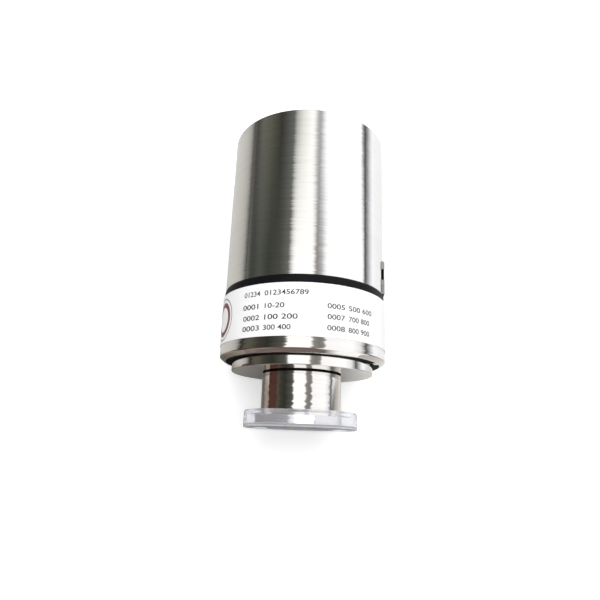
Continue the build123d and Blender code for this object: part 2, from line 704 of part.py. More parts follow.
def jack_shield():
    """The folded metal can round the socket, open below, notched and pierced at its sides."""
    half = JACK_WIDTH / 2
    low = MAIN_BOARD_TOP_Z
    can = block(JACK_BACK_X, JACK_FACE_X, -half, half, low, JACK_TOP_Z)
    hollow = block(
        JACK_BACK_X + SHIELD_T, JACK_FACE_X - SHIELD_T,
        -half + SHIELD_T, half - SHIELD_T,
        low - 1, JACK_TOP_Z - SHIELD_T,
    )
    mouth_half = PLUG_WIDTH / 2 + SHIELD_MARGIN
    mouth = block(
        JACK_FACE_X - 1, JACK_FACE_X + 1, -mouth_half, mouth_half,
        PLUG_Z - LATCH_DROP - SHIELD_MARGIN, PLUG_Z + PLUG_HEIGHT + SHIELD_MARGIN,
    )
    notch = block(
        JACK_FACE_X - SHIELD_NOTCH_DEPTH, JACK_FACE_X + 1, -half - 1, half + 1,
        low + SHIELD_NOTCH_LIFT, low + SHIELD_NOTCH_LIFT + SHIELD_NOTCH_HEIGHT,
    )
    notch = notch - block(
        JACK_FACE_X - SHIELD_NOTCH_DEPTH - 1, JACK_FACE_X + 2,
        -half + 2 * SHIELD_T, half - 2 * SHIELD_T, low, JACK_TOP_Z,
    )
    dot = Pos(JACK_FACE_X - 2 * SHIELD_DOT, 0, low) * Box(SHIELD_DOT, JACK_WIDTH + 2, SHIELD_DOT)
    rows = [Pos(0, 0, SHIELD_DOT_PITCH * (i + 1)) for i in range(SHIELD_DOTS)]
    return cut(can, [hollow, mouth, notch] + copies(dot, rows))


def shield_posts():
    """The two posts that are soldered through the main board under the socket."""
    post = rod(SHIELD_POST_D, MAIN_BOARD_Z - SHIELD_T, MAIN_BOARD_TOP_Z + SHIELD_T)
    return copies(post, shield_post_places())


def stack_sockets():
    """The plastic sockets on the main board and on the power board."""
    half = STACK_WIDTH / 2
    body = block(STACK_X - LINK_DEPTH / 2, STACK_X + LINK_DEPTH / 2, -half, half, 0, LINK_HEIGHT)
    return [Pos(0, 0, MAIN_BOARD_TOP_Z) * body, Pos(0, 0, POWER_BOARD_TOP_Z) * body]


def stack_pins():
    """The pins that join each socket to the board above it."""
    first = -(STACK_PINS - 1) / 2 * LINK_PITCH
    places = [Pos(STACK_X, first + LINK_PITCH * i, 0) for i in range(STACK_PINS)]
    lower = square_pin(LINK_PIN, MAIN_BOARD_TOP_Z + LINK_HEIGHT, POWER_BOARD_Z)
    upper = square_pin(LINK_PIN, POWER_BOARD_TOP_Z + LINK_HEIGHT, CONTROL_BOARD_Z)
    return copies(lower, places) + copies(upper, places)


def supply_capacitors():
    """Two can capacitors on the power board."""
    can = rod(CAPACITOR_D, POWER_BOARD_TOP_Z, POWER_BOARD_TOP_Z + CAPACITOR_H)
    half = CAPACITOR_SPACING / 2
    return [Pos(CAPACITOR_X, half, 0) * can, Pos(CAPACITOR_X, -half, 0) * can]


def power_inductor():
    """The shielded choke on the power board."""
    body = extrude(RectangleRounded(INDUCTOR_SIZE, INDUCTOR_SIZE, INDUCTOR_SIZE / 5), INDUCTOR_H)
    dimple_depth = INDUCTOR_H / 5
    dimple = Pos(0, 0, INDUCTOR_H - dimple_depth) * extrude(Circle(INDUCTOR_SIZE / 3), dimple_depth + 1)
    return Pos(INDUCTOR_X, 0, POWER_BOARD_TOP_Z) * (body - dimple)


def converter_module():
    """The potted supply converter under the power board's edge, standing on the main board."""
    half_x = CONVERTER_LENGTH / 2
    half_y = CONVERTER_WIDTH / 2
    body = block(
        -half_x, half_x, CONVERTER_Y - half_y, CONVERTER_Y + half_y,
        MAIN_BOARD_TOP_Z, MAIN_BOARD_TOP_Z + CONVERTER_H,
    )
    rims = body.edges().filter_by(Axis.Z)
    return fillet(rims, CONVERTER_EDGE)


def gull_chip(length, width, height, legs):
    """A chip with rows of legs along its two long sides, standing at height zero."""
    foot = CHIP_LEG_T
    chip = Pos(0, 0, foot + (height - foot) / 2) * Box(length, width, height - foot)
    pitch = length / legs
    for i in range(legs):
        x = -length / 2 + pitch * (i + 0.5)
        reach = width / 2 + CHIP_LEG_REACH
        leg = block(x - pitch / 5, x + pitch / 5, -reach, reach, 0, foot)
        chip = chip + leg
    return chip


def processor_chip():
    """The square processor on the control board."""
    half = PROCESSOR_SIZE / 2
    body = block(-half, half, -half, half, CHIP_LEG_T, PROCESSOR_H)
    feet = block(
        -half - CHIP_LEG_REACH, half + CHIP_LEG_REACH,
        -half + CHIP_LEG_REACH, half - CHIP_LEG_REACH, 0, CHIP_LEG_T,
    )
    feet = feet + Rot(0, 0, 90) * feet
    return Pos(0, 0, CONTROL_BOARD_TOP_Z) * (body + feet)


def small_chips():
    """The amplifier on the sensor board, the line driver and the memory by the processor."""
    chip = gull_chip(CHIP_LENGTH, CHIP_WIDTH, CHIP_H, CHIP_LEGS)
    amplifier = Pos(0, -LINK_Y / 2, SENSOR_BOARD_TOP_Z) * chip
    driver = Pos(0, DRIVER_Y, MAIN_BOARD_TOP_Z) * chip
    memory = Pos(0, DRIVER_Y, CONTROL_BOARD_TOP_Z) * chip
    return [amplifier, driver, memory]


def crystal_can():
    """The metal crystal can beside the processor."""
    outline = SlotOverall(CRYSTAL_LENGTH, CRYSTAL_WIDTH)
    return Pos(0, CRYSTAL_Y, CONTROL_BOARD_TOP_Z) * extrude(outline, CRYSTAL_H)


def dust_cap():
    """The moulded cap pushed over the flange, with a ring groove in its outer face."""
    inner_r = FLANGE_OD / 2 + CAP_GAP
    outer_r = CAP_OD / 2
    low = -CAP_END_T
    groove = low + CAP_GROOVE_DEPTH
    lip_low = CAP_SKIRT - CAP_LIP_HEIGHT
    outline = [
        (0, groove),
        (CAP_DISC_D / 2, groove),
        (CAP_DISC_D / 2, low),
        (CAP_GROOVE_INNER_D / 2, low),
        (CAP_GROOVE_INNER_D / 2, groove),
        (CAP_GROOVE_OUTER_D / 2, groove),
        (CAP_GROOVE_OUTER_D / 2, low),
        (outer_r - CAP_EDGE, low),
        (outer_r, low + CAP_EDGE),
        (outer_r, lip_low),
        (outer_r - CAP_LIP_T, CAP_SKIRT),
        (inner_r, CAP_SKIRT),
        (inner_r, 0),
        (0, 0),
    ]
    return turned(outline)


save("flange_neck", flange_neck())
save("inlet_baffle", inlet_baffle())
save("baffle_retaining_ring", retaining_ring())
save("sensor_header", sensor_header())
save("glass_seals", glass_seals())
save("feedthrough_pins", feedthrough_pins())
save("sensor_wires", sensor_wires())
save("sensor_shroud", sensor_shroud())
save("mounting_plate", mounting_plate())
save("insulator_ring", insulator_ring())
save("base_shell", base_shell())
save("plate_screws", plate_screws())
save("rating_label", rating_label())
save("gasket_band", gasket_band())
save("cover_shell", cover_shell())
save("cover_screws", cover_screws())
save("sensor_board", sensor_board())
save("link_socket", link_socket())
save("link_pins", link_pins())
save("lower_standoffs", standoffs(FLOOR_TOP_Z, LOWER_STANDOFF_L, SHELL_FLOOR_T))
save("main_board", main_board())
save("jack_housing", jack_housing())
save("jack_contacts", jack_contacts())
save("jack_shield", jack_shield())
save("shield_posts", shield_posts())
save("middle_standoffs", standoffs(MAIN_BOARD_TOP_Z, MIDDLE_STANDOFF_L, BOARD_T + STANDOFF_STUD_BITE))
save("power_board", stack_board(POWER_BOARD_Z))
save("stack_sockets", stack_sockets())
save("stack_pins", stack_pins())
save("supply_capacitors", supply_capacitors())
save("power_inductor", power_inductor())
save("converter_module", converter_module())
save("upper_standoffs", standoffs(POWER_BOARD_TOP_Z, UPPER_STANDOFF_L, BOARD_T + STANDOFF_STUD_BITE))
save("control_board", stack_board(CONTROL_BOARD_Z))
save("processor_chip", processor_chip())
save("small_chips", small_chips())
save("crystal_can", crystal_can())
save("board_screws", board_screws())
save("dust_cap", dust_cap())
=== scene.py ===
import math

import bmesh
import bpy
from mathutils import Matrix, Vector


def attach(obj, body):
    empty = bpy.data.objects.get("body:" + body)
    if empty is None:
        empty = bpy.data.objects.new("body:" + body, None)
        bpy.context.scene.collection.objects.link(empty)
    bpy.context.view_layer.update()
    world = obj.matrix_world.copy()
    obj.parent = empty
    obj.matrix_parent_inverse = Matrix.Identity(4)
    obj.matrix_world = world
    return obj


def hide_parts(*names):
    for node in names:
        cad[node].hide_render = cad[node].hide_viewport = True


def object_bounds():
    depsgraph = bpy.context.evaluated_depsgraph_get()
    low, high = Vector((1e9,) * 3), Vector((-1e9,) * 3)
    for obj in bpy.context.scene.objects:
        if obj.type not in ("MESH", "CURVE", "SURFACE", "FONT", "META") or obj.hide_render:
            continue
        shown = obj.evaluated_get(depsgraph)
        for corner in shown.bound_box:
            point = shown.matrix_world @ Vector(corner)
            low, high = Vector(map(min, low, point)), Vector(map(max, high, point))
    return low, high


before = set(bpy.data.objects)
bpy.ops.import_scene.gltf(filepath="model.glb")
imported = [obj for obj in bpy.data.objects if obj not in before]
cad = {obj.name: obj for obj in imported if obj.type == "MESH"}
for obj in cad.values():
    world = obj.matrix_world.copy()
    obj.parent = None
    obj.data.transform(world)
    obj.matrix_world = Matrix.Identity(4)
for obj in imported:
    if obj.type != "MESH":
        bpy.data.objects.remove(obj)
cad_low, cad_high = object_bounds()


# View
# The gauge's flange is nearest to the camera, which looks up along it from just below the dust cap.
# The camera stands a little to the right, so that the socket's window shows at the right edge.
MM = 0.001
CAMERA_DISTANCE = 195.9
CAMERA_HEIGHT = -5.98
CAMERA_AZIMUTH = math.radians(3.0)
CAMERA_AIM = math.radians(0.504)
CAMERA_PITCH = math.radians(15.5)
CAMERA_ROLL = 0.0367
CAMERA_LENS = 30.81

scene = bpy.context.scene
camera = bpy.data.objects.new("camera", bpy.data.cameras.new("camera"))
scene.collection.objects.link(camera)
camera.data.lens = CAMERA_LENS
camera.data.sensor_width = 36.0
camera.data.clip_start = 0.01
aim = Matrix.Rotation(CAMERA_AZIMUTH + CAMERA_AIM, 4, "Z")
tilt = Matrix.Rotation(math.radians(90.0) + CAMERA_PITCH, 4, "X")
roll = Matrix.Rotation(CAMERA_ROLL, 4, "Z")
stand = Vector((math.sin(CAMERA_AZIMUTH), -math.cos(CAMERA_AZIMUTH), 0.0)) * CAMERA_DISTANCE
stand.z = CAMERA_HEIGHT
camera.matrix_world = Matrix.Translation(stand * MM) @ aim @ tilt @ roll
scene.camera = camera
scene.view_settings.view_transform = "Standard"


# Studio
# A white card stands close behind the gauge, a pale floor lies under it, and both show from the front only.
# Metal mirrors a smaller card in the same place, which only reflections see: a painted reflection, darker
# outwards as a table is towards its far ends.
# Round them is a dim room that lights everything evenly, and a soft lamp above; in reflections and through
# clear parts the room shows as a painted reflection, with two tall white cards by the camera and to its
# right.
CARD_BEHIND = 31.7
CARD_SIZE = 3.0
CARD_WHITE = (0.86, 0.86, 0.86, 1.0)
CARD_LIFT = 0.34
FLOOR_WHITE = (0.80, 0.80, 0.79, 1.0)
FLOOR_LIFT = 0.2
FLOOR_GAP = 0.02
MIRRORED_WIDTH = 2.4
MIRRORED_LOW = -0.05
MIRRORED_AHEAD = 0.1
# Tones of the mirrored card from its left end to its right, by distance from the gauge in metres.
MIRRORED_TONES = [
    (-1.20, (0.10, 0.10, 0.095)),
    (-0.50, (0.22, 0.22, 0.205)),
    (-0.30, (0.36, 0.36, 0.335)),
    (-0.15, (0.47, 0.465, 0.435)),
    (-0.06, (0.53, 0.525, 0.50)),
    (0.06, (0.76, 0.76, 0.77)),
    (0.14, (0.86, 0.87, 0.90)),
    (0.24, (0.50, 0.51, 0.53)),
    (0.32, (0.33, 0.34, 0.36)),
    (0.60, (0.15, 0.15, 0.17)),
    (1.20, (0.12, 0.12, 0.14)),
]
# The same with painted shade, where the housing shades it round the neck.
SHADED_TONES = [
    (-1.20, (0.06, 0.05, 0.045)),
    (-0.25, (0.24, 0.165, 0.14)),
    (-0.12, (0.30, 0.235, 0.19)),
    (-0.075, (0.31, 0.27, 0.225)),
    (-0.050, (0.14, 0.12, 0.10)),
    (-0.040, (0.11, 0.10, 0.09)),
    (-0.030, (0.34, 0.33, 0.31)),
    (0.01, (0.42, 0.41, 0.40)),
    (0.033, (0.72, 0.71, 0.69)),
    (0.055, (0.50, 0.48, 0.455)),
    (0.085, (0.40, 0.375, 0.35)),
    (0.14, (0.21, 0.20, 0.18)),
    (0.30, (0.15, 0.15, 0.145)),
    (1.20, (0.10, 0.10, 0.10)),
]
SHADE_FROM = 0.034
SHADE_TO = 0.022


def shader(name):
    """A new material's node tree, emptied, and its output."""
    material = bpy.data.materials.new(name)
    material.use_nodes = True
    material.node_tree.nodes.clear()
    return material, material.node_tree.nodes, material.node_tree.links


def card_finish(name, colour, lift):
    """Matt paint that shows from the front only, a little brighter seen directly or through the cap."""
    material, nodes, links = shader(name)
    out = nodes.new("ShaderNodeOutputMaterial")
    matt = nodes.new("ShaderNodeBsdfDiffuse")
    matt.inputs["Color"].default_value = colour
    glow = nodes.new("ShaderNodeEmission")
    rays = nodes.new("ShaderNodeLightPath")
    seen = nodes.new("ShaderNodeMath")
    seen.operation = "MAXIMUM"
    links.new(rays.outputs["Is Camera Ray"], seen.inputs[0])
    links.new(rays.outputs["Is Transmission Ray"], seen.inputs[1])
    amount = nodes.new("ShaderNodeMath")
    amount.operation = "MULTIPLY"
    amount.inputs[1].default_value = lift
    links.new(seen.outputs[0], amount.inputs[0])
    links.new(amount.outputs[0], glow.inputs["Strength"])
    both = nodes.new("ShaderNodeAddShader")
    links.new(matt.outputs[0], both.inputs[0])
    links.new(glow.outputs[0], both.inputs[1])
    clear = nodes.new("ShaderNodeBsdfTransparent")
    side = nodes.new("ShaderNodeNewGeometry")
    front = nodes.new("ShaderNodeMixShader")
    links.new(side.outputs["Backfacing"], front.inputs[0])
    links.new(both.outputs[0], front.inputs[1])
    links.new(clear.outputs[0], front.inputs[2])
    links.new(front.outputs[0], out.inputs["Surface"])
    return material


def toned_card_finish(name, tones, low_tones, width):
    """Matt card whose tone changes along its length, with painted shade near its foot."""
    material, nodes, links = shader(name)
    out = nodes.new("ShaderNodeOutputMaterial")
    matt = nodes.new("ShaderNodeBsdfDiffuse")
    place = nodes.new("ShaderNodeTexCoord")
    along = nodes.new("ShaderNodeSeparateXYZ")
    links.new(place.outputs["Object"], along.inputs[0])
    span = nodes.new("ShaderNodeMapRange")
    span.inputs["From Min"].default_value = -width / 2
    span.inputs["From Max"].default_value = width / 2
    links.new(along.outputs["X"], span.inputs["Value"])
    shade = nodes.new("ShaderNodeMapRange")
    shade.inputs["From Min"].default_value = SHADE_FROM
    shade.inputs["From Max"].default_value = SHADE_TO
    links.new(along.outputs["Y"], shade.inputs["Value"])
    blend = nodes.new("ShaderNodeMix")
    blend.data_type = "RGBA"
    links.new(shade.outputs[0], blend.inputs[0])
    for stops, socket in ((tones, blend.inputs[6]), (low_tones, blend.inputs[7])):
        steps = nodes.new("ShaderNodeValToRGB")
        set_ramp(steps.color_ramp, [(x / width + 0.5, tone) for x, tone in stops])
        links.new(span.outputs[0], steps.inputs["Fac"])
        links.new(steps.outputs["Color"], socket)
    links.new(blend.outputs[2], matt.inputs["Color"])
    links.new(matt.outputs[0], out.inputs["Surface"])
    return material


def set_ramp(ramp, stops):
    """Give a colour ramp its stops, as (position, colour) pairs."""
    while len(ramp.elements) < len(stops):
        ramp.elements.new(0.5)
    for element, (position, tone) in zip(ramp.elements, stops):
        element.position = position
        element.color = (*tone, 1.0)


def card(name, size, place, turn_to, material):
    """A flat card of the studio."""
    bpy.ops.object.select_all(action="DESELECT")
    bpy.ops.mesh.primitive_plane_add(size=size)
    made = bpy.context.object
    made.name = name
    made.matrix_world = Matrix.Translation(place) @ turn_to
    made.data.materials.append(material)
    return made


upright = Matrix.Rotation(CAMERA_AZIMUTH, 4, "Z") @ Matrix.Rotation(math.radians(90.0), 4, "X")
behind = Matrix.Rotation(CAMERA_AZIMUTH, 4, "Z") @ Vector((0.0, CARD_BEHIND * MM, 0.0))
backdrop = card("backdrop", CARD_SIZE, behind, upright, card_finish("card_white", CARD_WHITE, CARD_LIFT))
backdrop.visible_glossy = False
backdrop.visible_shadow = False
mirrored_finish = toned_card_finish("card_painted_reflection", MIRRORED_TONES, SHADED_TONES, MIRRORED_WIDTH)
mirrored = card("mirrored_card", MIRRORED_WIDTH, behind, upright, mirrored_finish)
mirrored_rise = MIRRORED_LOW + MIRRORED_WIDTH / 2
mirrored.data.transform(Matrix.Translation((0.0, mirrored_rise, MIRRORED_AHEAD * MM)))
# Only reflections see this card, so its tones are a painted reflection.
mirrored.visible_camera = False
mirrored.visible_diffuse = False
mirrored.visible_transmission = False
mirrored.visible_shadow = False
# A low brown board at the left, seen only in reflections, which the metal near the flange mirrors: a painted
# reflection of the dark shade there.
BOARD_SIZE = 0.065
BOARD_HEIGHT = 0.048
BOARD_PLACE = (-0.115, -0.0185, 0.009)
PAINTED_REFLECTION_BROWN = (0.095, 0.045, 0.036, 1.0)
facing_right = Matrix.Rotation(math.radians(90.0), 4, "Z") @ Matrix.Rotation(math.radians(90.0), 4, "X")
painted_reflection_finish = card_finish("painted_reflection_brown", PAINTED_REFLECTION_BROWN, 0.0)
board = card("painted_reflection_board", 1.0, Vector(BOARD_PLACE), facing_right, painted_reflection_finish)
board.data.transform(Matrix.Diagonal((BOARD_SIZE, BOARD_HEIGHT, 1.0, 1.0)))
board.visible_camera = False
board.visible_diffuse = False
board.visible_shadow = False
floor_place = Vector((0.0, 0.0, cad_low.z - FLOOR_GAP * MM))
floor_finish = card_finish("floor_white", FLOOR_WHITE, FLOOR_LIFT)
floor = card("floor", CARD_SIZE, floor_place, Matrix.Identity(4), floor_finish)
floor.visible_glossy = False
floor.visible_shadow = False

SOFT_LAMP_SIZE = 0.50
SOFT_LAMP_WATTS = 3.2
SOFT_LAMP_PLACE = (0.12, -0.60, 0.16)
SOFT_LAMP_AIM = (0.0, 0.0, 0.05)
lamp_data = bpy.data.lights.new("soft_lamp", "AREA")
lamp_data.shape = "DISK"
lamp_data.size = SOFT_LAMP_SIZE
lamp_data.energy = SOFT_LAMP_WATTS
lamp = bpy.data.objects.new("soft_lamp", lamp_data)
lamp.location = SOFT_LAMP_PLACE
lamp.rotation_euler = (Vector(SOFT_LAMP_AIM) - lamp.location).to_track_quat("-Z", "Y").to_euler()
lamp.visible_glossy = False
scene.collection.objects.link(lamp)

# The room's painted reflection, seen only by reflected and transmitted rays: its tones by bearing, in degrees
# to the right of the camera, as polished metal mirrors them.
# The cards stand wider apart near the floor, so there is a row for high up, one for halfway and one for low.
HIGH_TONES = [
    (-180, (0.50, 0.49, 0.46)),
    (-95, (0.20, 0.20, 0.18)),
    (-88, (0.07, 0.07, 0.065)),
    (-76, (0.16, 0.16, 0.14)),
    (-62, (0.13, 0.13, 0.10)),
    (-43, (0.045, 0.045, 0.04)),
    (-24, (0.15, 0.16, 0.15)),
    (-19, (0.55, 0.57, 0.55)),
    (-10, (0.96, 0.96, 0.91)),
    (3, (1.30, 1.30, 1.28)),
    (7, (1.15, 1.15, 1.14)),
    (12, (0.55, 0.55, 0.56)),
    (16, (0.46, 0.48, 0.52)),
    (21, (1.00, 1.02, 1.05)),
    (25, (1.35, 1.35, 1.37)),
    (85, (1.35, 1.35, 1.37)),
    (89, (0.38, 0.38, 0.40)),
    (93, (0.14, 0.14, 0.16)),
    (180, (0.50, 0.50, 0.52)),
]
MIDDLE_TONES = [
    (-180, (0.50, 0.49, 0.46)),
    (-94, (0.20, 0.20, 0.18)),
    (-86, (0.075, 0.075, 0.07)),
    (-80, (0.06, 0.065, 0.055)),
    (-69, (0.09, 0.10, 0.085)),
    (-54, (0.05, 0.055, 0.05)),
    (-36, (0.08, 0.085, 0.07)),
    (-24, (0.17, 0.17, 0.155)),
    (-18, (1.10, 1.10, 1.12)),
    (-14, (1.35, 1.35, 1.34)),
    (9, (1.35, 1.35, 1.34)),
    (12, (1.00, 1.00, 0.98)),
    (15, (0.30, 0.29, 0.27)),
    (22, (0.50, 0.51, 0.52)),
    (27, (1.05, 1.07, 1.10)),
    (31, (1.35, 1.35, 1.36)),
    (88, (1.35, 1.35, 1.36)),
    (93, (0.50, 0.50, 0.52)),
    (180, (0.50, 0.50, 0.52)),
]
LEVEL_TONES = [
    (-180, (0.50, 0.49, 0.46)),
    (-95, (0.05, 0.045, 0.04)),
    (-90, (0.045, 0.042, 0.036)),
    (-83, (0.115, 0.105, 0.085)),
    (-74, (0.11, 0.105, 0.08)),
    (-62, (0.06, 0.055, 0.045)),
    (-48, (0.035, 0.036, 0.03)),
    (-34, (0.08, 0.08, 0.068)),
    (-27, (0.10, 0.105, 0.09)),
    (-24, (0.25, 0.25, 0.24)),
    (-21, (1.30, 1.30, 1.29)),
    (10, (1.30, 1.30, 1.29)),
    (14, (0.33, 0.31, 0.29)),
    (22, (0.24, 0.23, 0.21)),
    (28, (0.32, 0.32, 0.31)),
    (31, (1.20, 1.20, 1.21)),
    (70, (1.30, 1.30, 1.31)),
    (84, (1.00, 1.00, 1.01)),
    (90, (0.45, 0.45, 0.45)),
    (93, (0.30, 0.30, 0.30)),
    (180, (0.50, 0.50, 0.52)),
]
# Towards the floor, by how far right: a reddish line just under level, then the table.
EDGE_TONES = [
    (-1.0, (0.15, 0.06, 0.055)),
    (0.1, (0.10, 0.06, 0.055)),
    (0.24, (0.18, 0.17, 0.16)),
    (0.36, (1.20, 1.20, 1.18)),
]
FLOOR_TONES = [
    (-0.58, (0.50, 0.46, 0.42)),
    (-0.42, (0.20, 0.15, 0.13)),
    (0.22, (0.19, 0.15, 0.14)),
    (0.36, (1.20, 1.20, 1.18)),
]
ROOM_LIGHT = (0.62, 0.62, 0.63, 1.0)

world = bpy.data.worlds.new("studio")
scene.world = world
world.use_nodes = True
nodes, links = world.node_tree.nodes, world.node_tree.links
nodes.clear()
out = nodes.new("ShaderNodeOutputWorld")
where = nodes.new("ShaderNodeTexCoord")
facing = nodes.new("ShaderNodeMapping")
facing.inputs["Rotation"].default_value = (0.0, 0.0, -CAMERA_AZIMUTH)
links.new(where.outputs["Generated"], facing.inputs["Vector"])
parts = nodes.new("ShaderNodeSeparateXYZ")
links.new(facing.outputs[0], parts.inputs[0])
towards = nodes.new("ShaderNodeMath")
towards.operation = "MULTIPLY"
towards.inputs[1].default_value = -1.0
links.new(parts.outputs["Y"], towards.inputs[0])
bearing = nodes.new("ShaderNodeMath")
bearing.operation = "ARCTAN2"
links.new(parts.outputs["X"], bearing.inputs[0])
links.new(towards.outputs[0], bearing.inputs[1])
share = nodes.new("ShaderNodeMapRange")
share.inputs["From Min"].default_value = -math.pi
share.inputs["From Max"].default_value = math.pi
links.new(bearing.outputs[0], share.inputs["Value"])
across = nodes.new("ShaderNodeMapRange")
across.inputs["From Min"].default_value = -1.0
links.new(parts.outputs["X"], across.inputs["Value"])
# Each row takes over from the one before between two heights of the mirrored ray, 1 straight up and -1 down.
mirrored_room = None
for row, source, span, starts, done in (
    (HIGH_TONES, share, 360.0, 1.0, 1.0),
    (MIDDLE_TONES, share, 360.0, 0.57, 0.34),
    (LEVEL_TONES, share, 360.0, 0.29, 0.24),
    (EDGE_TONES, across, 2.0, -0.42, -0.50),
    (FLOOR_TONES, across, 2.0, -0.60, -0.80),
):
    tones = nodes.new("ShaderNodeValToRGB")
    set_ramp(tones.color_ramp, [(place / span + 0.5, tone) for place, tone in row])
    links.new(source.outputs[0], tones.inputs["Fac"])
    if mirrored_room is None:
        mirrored_room = tones.outputs["Color"]
        continue
    share_of_row = nodes.new("ShaderNodeMapRange")
    share_of_row.inputs["From Min"].default_value = starts
    share_of_row.inputs["From Max"].default_value = done
    links.new(parts.outputs["Z"], share_of_row.inputs["Value"])
    over = nodes.new("ShaderNodeMix")
    over.data_type = "RGBA"
    links.new(share_of_row.outputs[0], over.inputs[0])
    links.new(mirrored_room, over.inputs[6])
    links.new(tones.outputs["Color"], over.inputs[7])
    mirrored_room = over.outputs[2]
# Reflected and transmitted rays see the painted room, camera rays see white, and all other rays the even room
# light.
rays = nodes.new("ShaderNodeLightPath")
in_metal = nodes.new("ShaderNodeMix")
in_metal.data_type = "RGBA"
in_metal.inputs[6].default_value = ROOM_LIGHT
through = nodes.new("ShaderNodeMath")
through.operation = "MAXIMUM"
links.new(rays.outputs["Is Glossy Ray"], through.inputs[0])
links.new(rays.outputs["Is Transmission Ray"], through.inputs[1])
links.new(through.outputs[0], in_metal.inputs[0])
links.new(mirrored_room, in_metal.inputs[7])
direct = nodes.new("ShaderNodeMix")
direct.data_type = "RGBA"
direct.inputs[7].default_value = (1.0, 1.0, 1.0, 1.0)
links.new(rays.outputs["Is Camera Ray"], direct.inputs[0])
links.new(in_metal.outputs[2], direct.inputs[6])
sky = nodes.new("ShaderNodeBackground")
links.new(direct.outputs[2], sky.inputs["Color"])
links.new(sky.outputs[0], out.inputs["Surface"])


# Flange and neck
# The clamp flange, its taper and the neck are one piece of stainless steel, turned from bar.
# The cutter leaves fine rings all the way round, and the stepped bore inside carries the baffle.
SIDES = 288
FLANGE_OD = 40.0
FLANGE_RIM = 3.0
NECK_OD = 29.8
NECK_STARTS = 4.37
NECK_ENDS = 18.9
NECK_GROOVE = 0.4
NECK_GROOVE_DEPTH = 0.35
# How far below the groove the painted shade runs, in millimetres.
PAINTED_SHADE_BELOW = 0.12
SPIGOT_OD = 27.6
SPIGOT_TOP = 23.4
HEADER_SEAT_D = 25.5
HEADER_SEAT_Z = 21.4
CHAMBER_D = 22.4
INLET_D = 24.0
INLET_STEP_Z = 6.2
RECESS_D = 26.2
RECESS_DEPTH = 3.0
RING_GROOVE_D = 25.2
RING_GROOVE_Z = 4.3
SEAT_Z = 5.2
STEEL = (0.80, 0.785, 0.765, 1.0)
RING_SHADE = 0.95


def select_points(piece, places):
    """In edit mode, select the vertices that lie at the given places."""
    mesh = bmesh.from_edit_mesh(piece.data)
    for vertex in mesh.verts:
        vertex.select = any((vertex.co - place).length < 0.002 * MM for place in places)
    mesh.select_flush_mode()
    bmesh.update_edit_mesh(piece.data)


def turn(name, outline):
    """A skin turned about the axis from an outline of (radius, height, rounding) points in millimetres."""
    bpy.ops.object.select_all(action="DESELECT")
    bpy.ops.mesh.primitive_plane_add(size=MM)
    piece = bpy.context.object
    piece.name = piece.data.name = name
    places = [Vector((point[0], 0.0, point[1])) * MM for point in outline]
    on_axis = outline[0][0] == 0 and outline[-1][0] == 0
    bpy.ops.object.mode_set(mode="EDIT")
    bpy.ops.mesh.select_mode(type="VERT")
    bpy.ops.mesh.select_all(action="SELECT")
    bpy.ops.mesh.merge(type="CENTER")
    bpy.ops.transform.translate(value=places[0])
    route = places if on_axis else places + places[:1]
    for before, after in zip(route, route[1:]):
        bpy.ops.mesh.extrude_vertices_move(TRANSFORM_OT_translate={"value": after - before})
    bpy.ops.mesh.select_all(action="SELECT")
    bpy.ops.mesh.remove_doubles(threshold=0.001 * MM)
    for rounding in sorted({point[2] for point in outline if len(point) > 2}):
        chosen = [place for place, point in zip(places, outline) if point[2:] == (rounding,)]
        select_points(piece, chosen)
        bpy.ops.mesh.bevel(offset=rounding * MM, segments=4, affect="VERTICES")
    bpy.ops.mesh.select_all(action="SELECT")
    bpy.ops.mesh.spin(steps=SIDES, angle=2.0 * math.pi, center=(0, 0, 0), axis=(0, 0, 1))
    bpy.ops.mesh.select_all(action="SELECT")
    bpy.ops.mesh.remove_doubles(threshold=0.001 * MM)
    bpy.ops.mesh.normals_make_consistent(inside=False)
    bpy.ops.object.mode_set(mode="OBJECT")
    return piece


def smooth(piece, angle=32.0):
    """Shade a piece smooth over its gentle edges and keep its flat faces flat."""
    bpy.ops.object.select_all(action="DESELECT")
    piece.select_set(True)
    bpy.context.view_layer.objects.active = piece
    bpy.ops.object.shade_smooth_by_angle(angle=math.radians(angle))
    weighting = piece.modifiers.new("weighting", "WEIGHTED_NORMAL")
    weighting.keep_sharp = True
    bpy.ops.object.modifier_apply(modifier=weighting.name)


def group(name, inputs, outputs):
    """A shader node group with float inputs and outputs, and its two end nodes."""
    tree = bpy.data.node_groups.new(name, "ShaderNodeTree")
    for title, value in inputs:
        socket = tree.interface.new_socket(title, in_out="INPUT", socket_type="NodeSocketFloat")
        socket.default_value = value
    for title in outputs:
        tree.interface.new_socket(title, in_out="OUTPUT", socket_type="NodeSocketFloat")
    return tree, tree.nodes.new("NodeGroupInput"), tree.nodes.new("NodeGroupOutput")


def maths(tree, operation, first, second=None):
    """A maths node between two sockets or numbers."""
    node = tree.nodes.new("ShaderNodeMath")
    node.operation = operation
    for socket, value in zip(node.inputs, (first, second)):
        if isinstance(value, bpy.types.NodeSocket):
            tree.links.new(value, socket)
        elif value is not None:
            socket.default_value = value
    return node.outputs[0]


